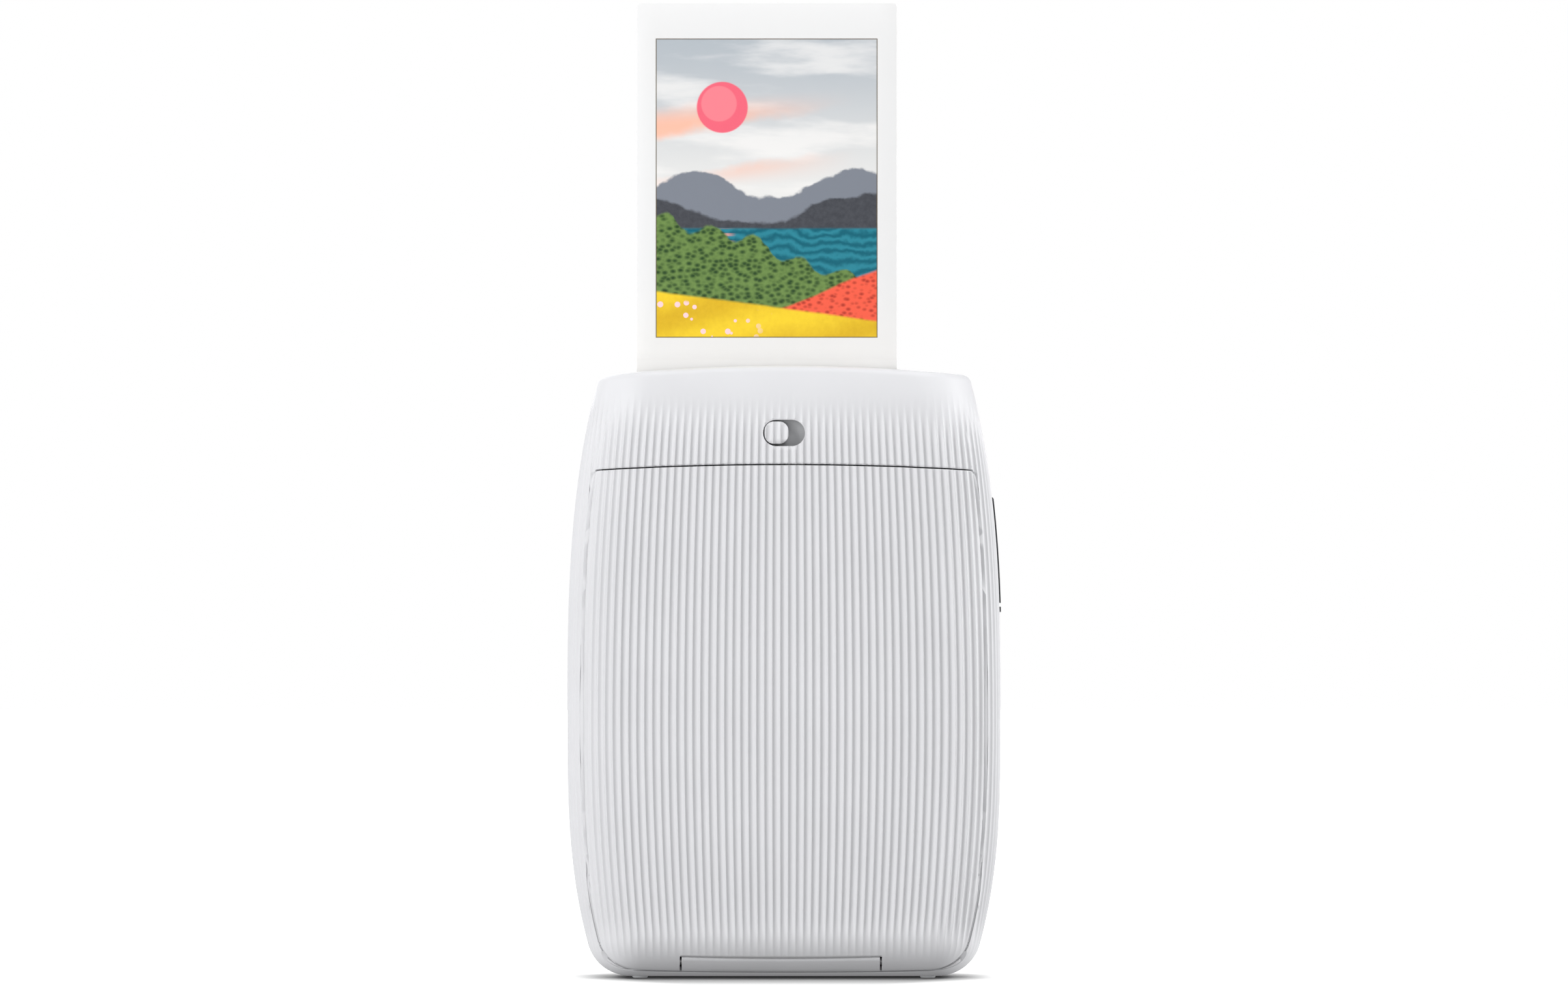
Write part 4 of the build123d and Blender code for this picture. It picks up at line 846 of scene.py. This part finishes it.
sky = picture.mix((0.80, 0.79, 0.77), (0.42, 0.46, 0.50), v.step(0.35, 1.05))
cloud = picture.grain(13.0, detail=5.0, stretch=(2.4, 1, 0.5))
sky = picture.mix(sky, (0.90, 0.88, 0.86), cloud.step(0.46, 0.66) * 0.6)
band = ((v - 0.66 - 0.12 * u + 0.08 * ripple) * 26.0).wave()
glow = band.step(-0.1, 0.9) * abs(v - 0.64 - 0.05 * u).step(0.16, 0.06) * u.step(0.95, 0.2)
sky = picture.mix(sky, (0.93, 0.46, 0.31), glow * 0.85)


def disc(centre_u, centre_v, radius):
    """1 inside a circle, with its sizes as shares of the picture's width."""
    across = (u - centre_u) ** 2
    up = ((v - centre_v) * (PICTURE_HEIGHT / PICTURE_WIDTH)) ** 2
    return ((across + up) ** 0.5).step(radius + 0.004, radius - 0.004)


def under(height, soft=0.006):
    """1 under a ridge line."""
    return (v - height).step(soft, -soft)


scene_colour = picture.mix(sky, (0.84, 0.13, 0.19), disc(0.30, 0.77, 0.115))
scene_colour = picture.mix(scene_colour, (0.90, 0.30, 0.33), disc(0.285, 0.782, 0.08) * 0.5)
ridge = 0.50 + 0.05 * (u * 9.0).wave() + 0.12 * ripple
scene_colour = picture.mix(scene_colour, (0.20, 0.22, 0.26), under(ridge))
near_ridge = 0.43 + 0.045 * (u * 6.0 + 2.2).wave() + 0.10 * ripple
dark_hill = picture.mix((0.030, 0.032, 0.040), (0.085, 0.09, 0.105), fine)
scene_colour = picture.mix(scene_colour, dark_hill, under(near_ridge))
lake = picture.mix((0.0, 0.11, 0.16), (0.02, 0.22, 0.29), (v * 210.0 + 30.0 * ripple).wave() * 0.5 + 0.5)
scene_colour = picture.mix(scene_colour, lake, under(0.365 + 0.004 * ripple))
path = abs(u - 0.30 - 0.05 * ripple).step(0.07, 0.01) * under(0.362) * (v * 260.0).wave().step(0.0, 0.6)
scene_colour = picture.mix(scene_colour, (0.88, 0.40, 0.36), path * 0.7)
wood = picture.mix((0.018, 0.055, 0.012), (0.16, 0.27, 0.07), foliage.step(0.1, 0.75) * (0.4 + 0.9 * fine))
left_wood = 0.30 + 0.16 * (0.62 - u).most(0.0) + 0.02 * (u * 31.0).wave() + 0.10 * ripple
scene_colour = picture.mix(scene_colour, wood, under(left_wood - 0.26 * (u - 0.45).most(0.0)))
poppies = picture.mix((0.42, 0.035, 0.02), (0.86, 0.11, 0.06), foliage.step(0.05, 0.6))
right_field = 0.04 + 0.30 * (u - 0.38).most(0.0) + 0.03 * ripple
scene_colour = picture.mix(scene_colour, poppies, under(right_field))
furrow = ((u * 6.0 - v * 30.0) + 4.0 * ripple).wave() * 0.5 + 0.5
wheat = picture.mix((0.62, 0.36, 0.01), (0.93, 0.66, 0.03), furrow * 0.6 + 0.5 * fine)
scene_colour = picture.mix(scene_colour, wheat, under(0.13 - 0.10 * (u - 0.25) + 0.012 * ripple))
bloom = picture.cells(2.3) < 0.27
bloom = bloom * under(0.115 - 0.10 * (u - 0.2)) * u.step(0.55, 0.35)
scene_colour = picture.mix(scene_colour, (0.90, 0.62, 0.64), bloom)
edge = (0.5 - abs(u - 0.5)).least((0.5 - abs(v - 0.5)) * (PICTURE_HEIGHT / PICTURE_WIDTH))
scene_colour = picture.mix((0.13, 0.10, 0.06), scene_colour, edge.step(0.001, 0.007))
picture.feed("Base Color", scene_colour)
picture.feed("Coat Weight", 0.6)
picture.relief(picture.grain(6.0, detail=2.0), 0.01)
dress(nodes["print_image"], picture.material)
print("picture", len(picture.tree.nodes), "nodes")

# %% [markdown]
# ## Finishes of the inside
#
# Open the door and the chamber shows: black plastic, steel springs, felt and foam against
# stray light. Deeper in are gears, boards and a battery. Each kind of stuff gets one
# recipe, and each piece its own colour and grain from it.

# %% Metals
def metal(name, colour, rough=0.32, along=(1, 1, 1), deep=0.003, scratch=0.12):
    """Rolled, drawn or ground metal; along draws its fine lines out in one direction."""
    finish = Finish(name, metallic=1.0)
    lines = finish.grain(0.12, detail=3.0, stretch=along)
    tarnish = finish.grain(6.0, detail=4.0)
    dull, bright = shade(colour, 0.82), shade(colour, 1.06)
    finish.feed("Base Color", finish.mix(dull, bright, tarnish * 0.6 + lines * 0.4))
    finish.feed("Roughness", rough + scratch * (lines - 0.5) + 0.1 * (tarnish - 0.5))
    finish.relief(lines, deep)
    return finish.material


# %% Rubber, foam and felt
def soft(name, colour, size, deep, rough=0.85):
    """Foam cells or a short pile, as rounded cells with painted light on their tops and painted shade in
    the hollows between them.
    """
    finish = Finish(name, roughness=rough)
    pile = finish.cells(size)
    dust = finish.grain(5.0, detail=4.0)
    # Painted light and shade: lighter cell tops and darker hollows between the cells, under a random
    # blotchy tone.
    finish.feed("Base Color", finish.mix(shade(colour, 1.25), shade(colour, 0.6), pile * 0.8 + dust * 0.3))
    finish.relief(1.0 - pile, deep)
    return finish.material


# %% Circuit boards
def board(name, colour, along=(1, 1, 1)):
    """Solder resist over copper: tracks show as slightly paler, raised lanes."""
    finish = Finish(name, ior=1.5)
    x, _, z = finish.axes()
    bend = finish.grain(14.0, detail=0.0)
    lanes = ((x * along[0] + z * along[2]) * 1.1 + bend * 9.0).wave().step(0.35, 0.6)
    islands = finish.grain(9.0, detail=1.0).step(0.45, 0.55)
    copper = lanes * islands
    pads = finish.cells(2.6, feature="F1") < 0.16
    resist = finish.mix(shade(colour, 0.85), shade(colour, 1.7), copper)
    finish.feed("Base Color", finish.mix(resist, (0.72, 0.56, 0.26), pads))
    finish.feed("Roughness", 0.34 + 0.1 * copper)
    finish.relief(copper.most(pads), 0.03)
    return finish.material


# %% Clear, milky and foil finishes
def clear(name, colour, share):
    finish = Finish(name, roughness=0.05, ior=1.49, transmission_weight=share)
    streak = finish.grain(3.0, stretch=(4, 1, 1))
    finish.feed("Base Color", finish.mix(shade(colour, 0.94), colour, streak))
    return finish.material


def foil(name, colour):
    """A laminate pouch: satin metal with soft dents."""
    finish = Finish(name, metallic=0.75)
    dents = finish.grain(7.0, detail=2.0)
    fine_lines = finish.grain(0.3, stretch=(1, 1, 6))
    finish.feed("Base Color", finish.mix(shade(colour, 0.85), colour, dents))
    finish.feed("Roughness", 0.32 + 0.14 * fine_lines)
    finish.relief(dents, 0.12)
    return finish.material


# %% [markdown]
# ## Which piece wears what
#
# One table names a finish for every CAD piece that still shows. Pieces of one stuff share
# a material, so the model keeps few materials.

# %% Dress the CAD pieces
black = (0.028, 0.028, 0.031)
finishes = {
    "spring_steel": metal("spring_steel", (0.60, 0.60, 0.59), rough=0.26),
    "rolled_steel": metal("rolled_steel", (0.56, 0.56, 0.57), rough=0.34, along=(1, 1, 10)),
    "ground_steel": metal("ground_steel", (0.45, 0.45, 0.46), rough=0.42, along=(0.8, 1, 1), deep=0.012),
    "black_screw": metal("black_screw", (0.12, 0.12, 0.125), rough=0.38),
    "nickel_can": metal("nickel_can", (0.66, 0.655, 0.64), rough=0.24, along=(12, 1, 1)),
    "turned_brass": metal("turned_brass", (0.72, 0.52, 0.22), rough=0.28),
    "sintered_bronze": metal("sintered_bronze", (0.42, 0.29, 0.15), rough=0.55, deep=0.01),
    "tinned_shield": metal("tinned_shield", (0.62, 0.62, 0.60), rough=0.36, along=(8, 1, 1)),
    "frame_black": moulded("frame_black", black, rough=0.48, grain=0.4, deep=0.01, spread=0.15),
    "pack_black": moulded("pack_black", shade(black, 0.8), rough=0.36, grain=0.3, deep=0.006, spread=0.1),
    "plate_grey": moulded("plate_grey", (0.07, 0.07, 0.075), rough=0.42, spread=0.08),
    # Painted shade: the latch slider is the shell's pale plastic, painted a darker grey for the shade deep
    # in its recess.
    "latch_shaded_pale": moulded("latch_shaded_pale", (0.42, 0.425, 0.435), rough=0.5, spread=0.04),
    "mark_yellow": moulded("mark_yellow", (0.80, 0.50, 0.03), rough=0.45, deep=0.003),
    "natural_nylon": moulded("natural_nylon", (0.74, 0.71, 0.62), rough=0.4, grain=0.5),
    "film_back": moulded("film_back", (0.035, 0.036, 0.042), rough=0.3, grain=0.9, deep=0.003),
    "card_black": moulded("card_black", (0.03, 0.03, 0.03), rough=0.8, grain=0.35, deep=0.02),
    "chip_epoxy": moulded("chip_epoxy", (0.02, 0.02, 0.023), rough=0.45, grain=0.15),
    "switch_black": moulded("switch_black", (0.022, 0.022, 0.024), rough=0.35),
    "lead_red": moulded("lead_red", (0.50, 0.02, 0.02), rough=0.42, deep=0.003),
    "flex_amber": moulded("flex_amber", (0.46, 0.20, 0.03), rough=0.25, deep=0.002),
    "cover_rubber": moulded(
        "cover_rubber", (0.035, 0.036, 0.040), rough=0.62, grain=0.3, deep=0.008, spread=0.12
    ),
    "foot_rubber": moulded("foot_rubber", (0.52, 0.53, 0.54), rough=0.7, grain=0.3),
    "button_white": moulded("button_white", WHITE, rough=0.42, deep=0.004),
    "black_foam": soft("black_foam", (0.022, 0.022, 0.022), size=0.45, deep=0.12),
    "black_felt": soft("black_felt", (0.015, 0.015, 0.015), size=0.16, deep=0.06, rough=0.95),
    "board_green": board("board_green", (0.012, 0.11, 0.055)),
    "lens_clear": clear("lens_clear", (0.92, 0.95, 0.96), 0.9),
    "milky_ring": clear("milky_ring", (0.86, 0.88, 0.90), 0.25),
    "pouch_foil": foil("pouch_foil", (0.62, 0.63, 0.65)),
}
wears = {
    "spring_steel": "plate_springs latch_spring pinch_springs claw_spring pack_spring",
    "rolled_steel": "hinge_pins door_catch idler_pin motor_shaft motor_bracket film_claw",
    "ground_steel": "drive_roller pinch_roller",
    "black_screw": "case_screws small_screws",
    "nickel_can": "motor",
    "turned_brass": "motor_pinion",
    "sintered_bronze": "roller_bushes",
    "tinned_shield": "wireless_module usb_socket",
    "frame_black": "film_frame exposure_head",
    "pack_black": "film_cartridge",
    "plate_grey": "pressure_plate latch_retainer",
    "latch_shaded_pale": "latch_slider",
    "mark_yellow": "pack_mark",
    "natural_nylon": "drive_gear pinch_gear idler_gear board_connectors",
    "film_back": "film_stack",
    "card_black": "pack_backing pack_back_plate",
    "chip_epoxy": "board_chips",
    "switch_black": "door_switch power_switch reset_switch",
    "lead_red": "battery_leads",
    "flex_amber": "head_flex",
    "cover_rubber": "port_cover reset_button",
    "foot_rubber": "rubber_feet",
    "button_white": "power_button",
    "black_foam": "door_seal battery_pads",
    "black_felt": "slot_wipers",
    "board_green": "main_board light_board button_board",
    "lens_clear": "lens_bar",
    "milky_ring": "light_ring",
    "pouch_foil": "battery",
}
dressed = {"print_image", "print_card", *shells}
for finish_name, names in wears.items():
    for name in names.split():
        dress(nodes[name], finishes[finish_name])
        dressed.add(name)
print("CAD pieces without a finish:", sorted(set(nodes) - dressed))

# %% [markdown]
# ## Floor, light and camera
#
# The photograph is a plain product shot: a white ground that runs into a white background,
# a soft light from the upper left, a weaker one from the right, and a long lens level with
# the middle of the picture. A lamp behind fills the far side for views from there. The
# floor looks white to the camera. Round the body it keeps the shadow, which is drawn in
# the floor's own colour and glow, narrows as it runs out, and is darkest at the contact.

# %% Floor
FLOOR_SIZE = 12.0
FOOTPRINT = (32.0, 17.0)
CONTACT_RUN = (0.0, 25.0)
SHADOW_RUN = (12.0, 100.0)
SIDE_SHARE = 6.0
SHADOW_TAPER = 0.25
FAR_FLOOR = (150.0, 600.0)
UNDER_GREY = (0.04, 0.04, 0.04)
OPEN_GREY = (0.30, 0.30, 0.30)
NEAR_GLOW = 0.85
FAR_GLOW = 0.6
FLOOR_BOUNCE = 0.42
bpy.ops.mesh.primitive_plane_add(size=FLOOR_SIZE, location=(0, 0, 0))
floor = bpy.context.object
floor.name = "floor"
floor_finish = Finish("floor_white", roughness=0.9)
rays = floor_finish.node("ShaderNodeLightPath")
seen = rays.socket.node.outputs
floor_x, floor_y, _ = floor_finish.axes()
shown = Signal(floor_finish, seen["Is Camera Ray"]).most(Signal(floor_finish, seen["Is Glossy Ray"]))
shown = shown.most(Signal(floor_finish, seen["Is Transmission Ray"]))
floor_finish.feed("Emission Color", (1.0, 1.0, 1.0))
past_y = (abs(floor_y) - FOOTPRINT[1]).most(0.0)
past_x = (abs(floor_x) - (FOOTPRINT[0] - SHADOW_TAPER * past_y)).most(0.0)
off = ((past_x * SIDE_SHARE) ** 2 + past_y ** 2) ** 0.5
floor_colour = floor_finish.mix(UNDER_GREY, OPEN_GREY, off.step(*CONTACT_RUN))
floor_finish.feed("Base Color", floor_colour)
camera_glow = NEAR_GLOW * off.step(*SHADOW_RUN) + FAR_GLOW * off.step(*FAR_FLOOR)
floor_finish.feed("Emission Strength", shown * camera_glow + (1.0 - shown) * FLOOR_BOUNCE)
dress(floor, floor_finish.material)

# %% World
ROOM_GREY = (0.10, 0.103, 0.107, 1.0)
SEEN_WHITE = (1.0, 1.0, 1.0, 1.0)
world = bpy.data.worlds.new("studio")
bpy.context.scene.world = world
world.use_nodes = True
world_tree = world.node_tree
background = world_tree.nodes["Background"]
sky_path = world_tree.nodes.new("ShaderNodeLightPath")
room = world_tree.nodes.new("ShaderNodeMix")
room.data_type = "RGBA"
room.inputs["A"].default_value = ROOM_GREY
room.inputs["B"].default_value = SEEN_WHITE
world_tree.links.new(sky_path.outputs["Is Camera Ray"], room.inputs["Factor"])
world_tree.links.new(room.outputs["Result"], background.inputs["Color"])


# %% Lamps
def lamp(name, place, aim, size, power, colour=(1, 1, 1)):
    data = bpy.data.lights.new(name, "AREA")
    data.shape = "RECTANGLE"
    data.size, data.size_y = size
    data.energy = power
    data.color = colour
    light = link(name, data)
    light.location = place
    light.rotation_euler = (Vector(aim) - Vector(place)).to_track_quat("-Z", "Y").to_euler()
    return light


MIDDLE = (0, 0, 0.08)
lamp("window_left", (-1.25, -1.15, 0.65), MIDDLE, (0.6, 1.2), 24.3)
lamp("edge_right", (1.3, 0.1, 0.5), MIDDLE, (0.5, 1.0), 16.5)
lamp("edge_left", (-1.2, 0.4, 0.4), MIDDLE, (0.5, 1.0), 3.5)
lamp("front_above", (0.3, -0.8, 1.3), MIDDLE, (1.0, 1.0), 9.8)
lamp("from_above", (0, 0.1, 1.5), MIDDLE, (1.0, 1.0), 9.6)
lamp("behind", (-0.4, 1.5, 0.6), MIDDLE, (1.0, 1.0), 12.0)

# %% Camera
VIEW_WIDTH = 325.3 * MM
VIEW_MIDDLE_Z = 100.2 * MM
LENS = 540.0
SENSOR = 36.0
camera_data = bpy.data.cameras.new("camera")
camera_data.lens = LENS
camera_data.sensor_width = SENSOR
camera = link("camera", camera_data)
camera.location = (0, -VIEW_WIDTH * LENS / SENSOR, VIEW_MIDDLE_Z)
camera.rotation_euler = (math.radians(90), 0, 0)
camera_data.clip_start = 0.05
camera_data.clip_end = 20.0
bpy.context.scene.camera = camera
bpy.context.scene.view_settings.view_transform = "Standard"
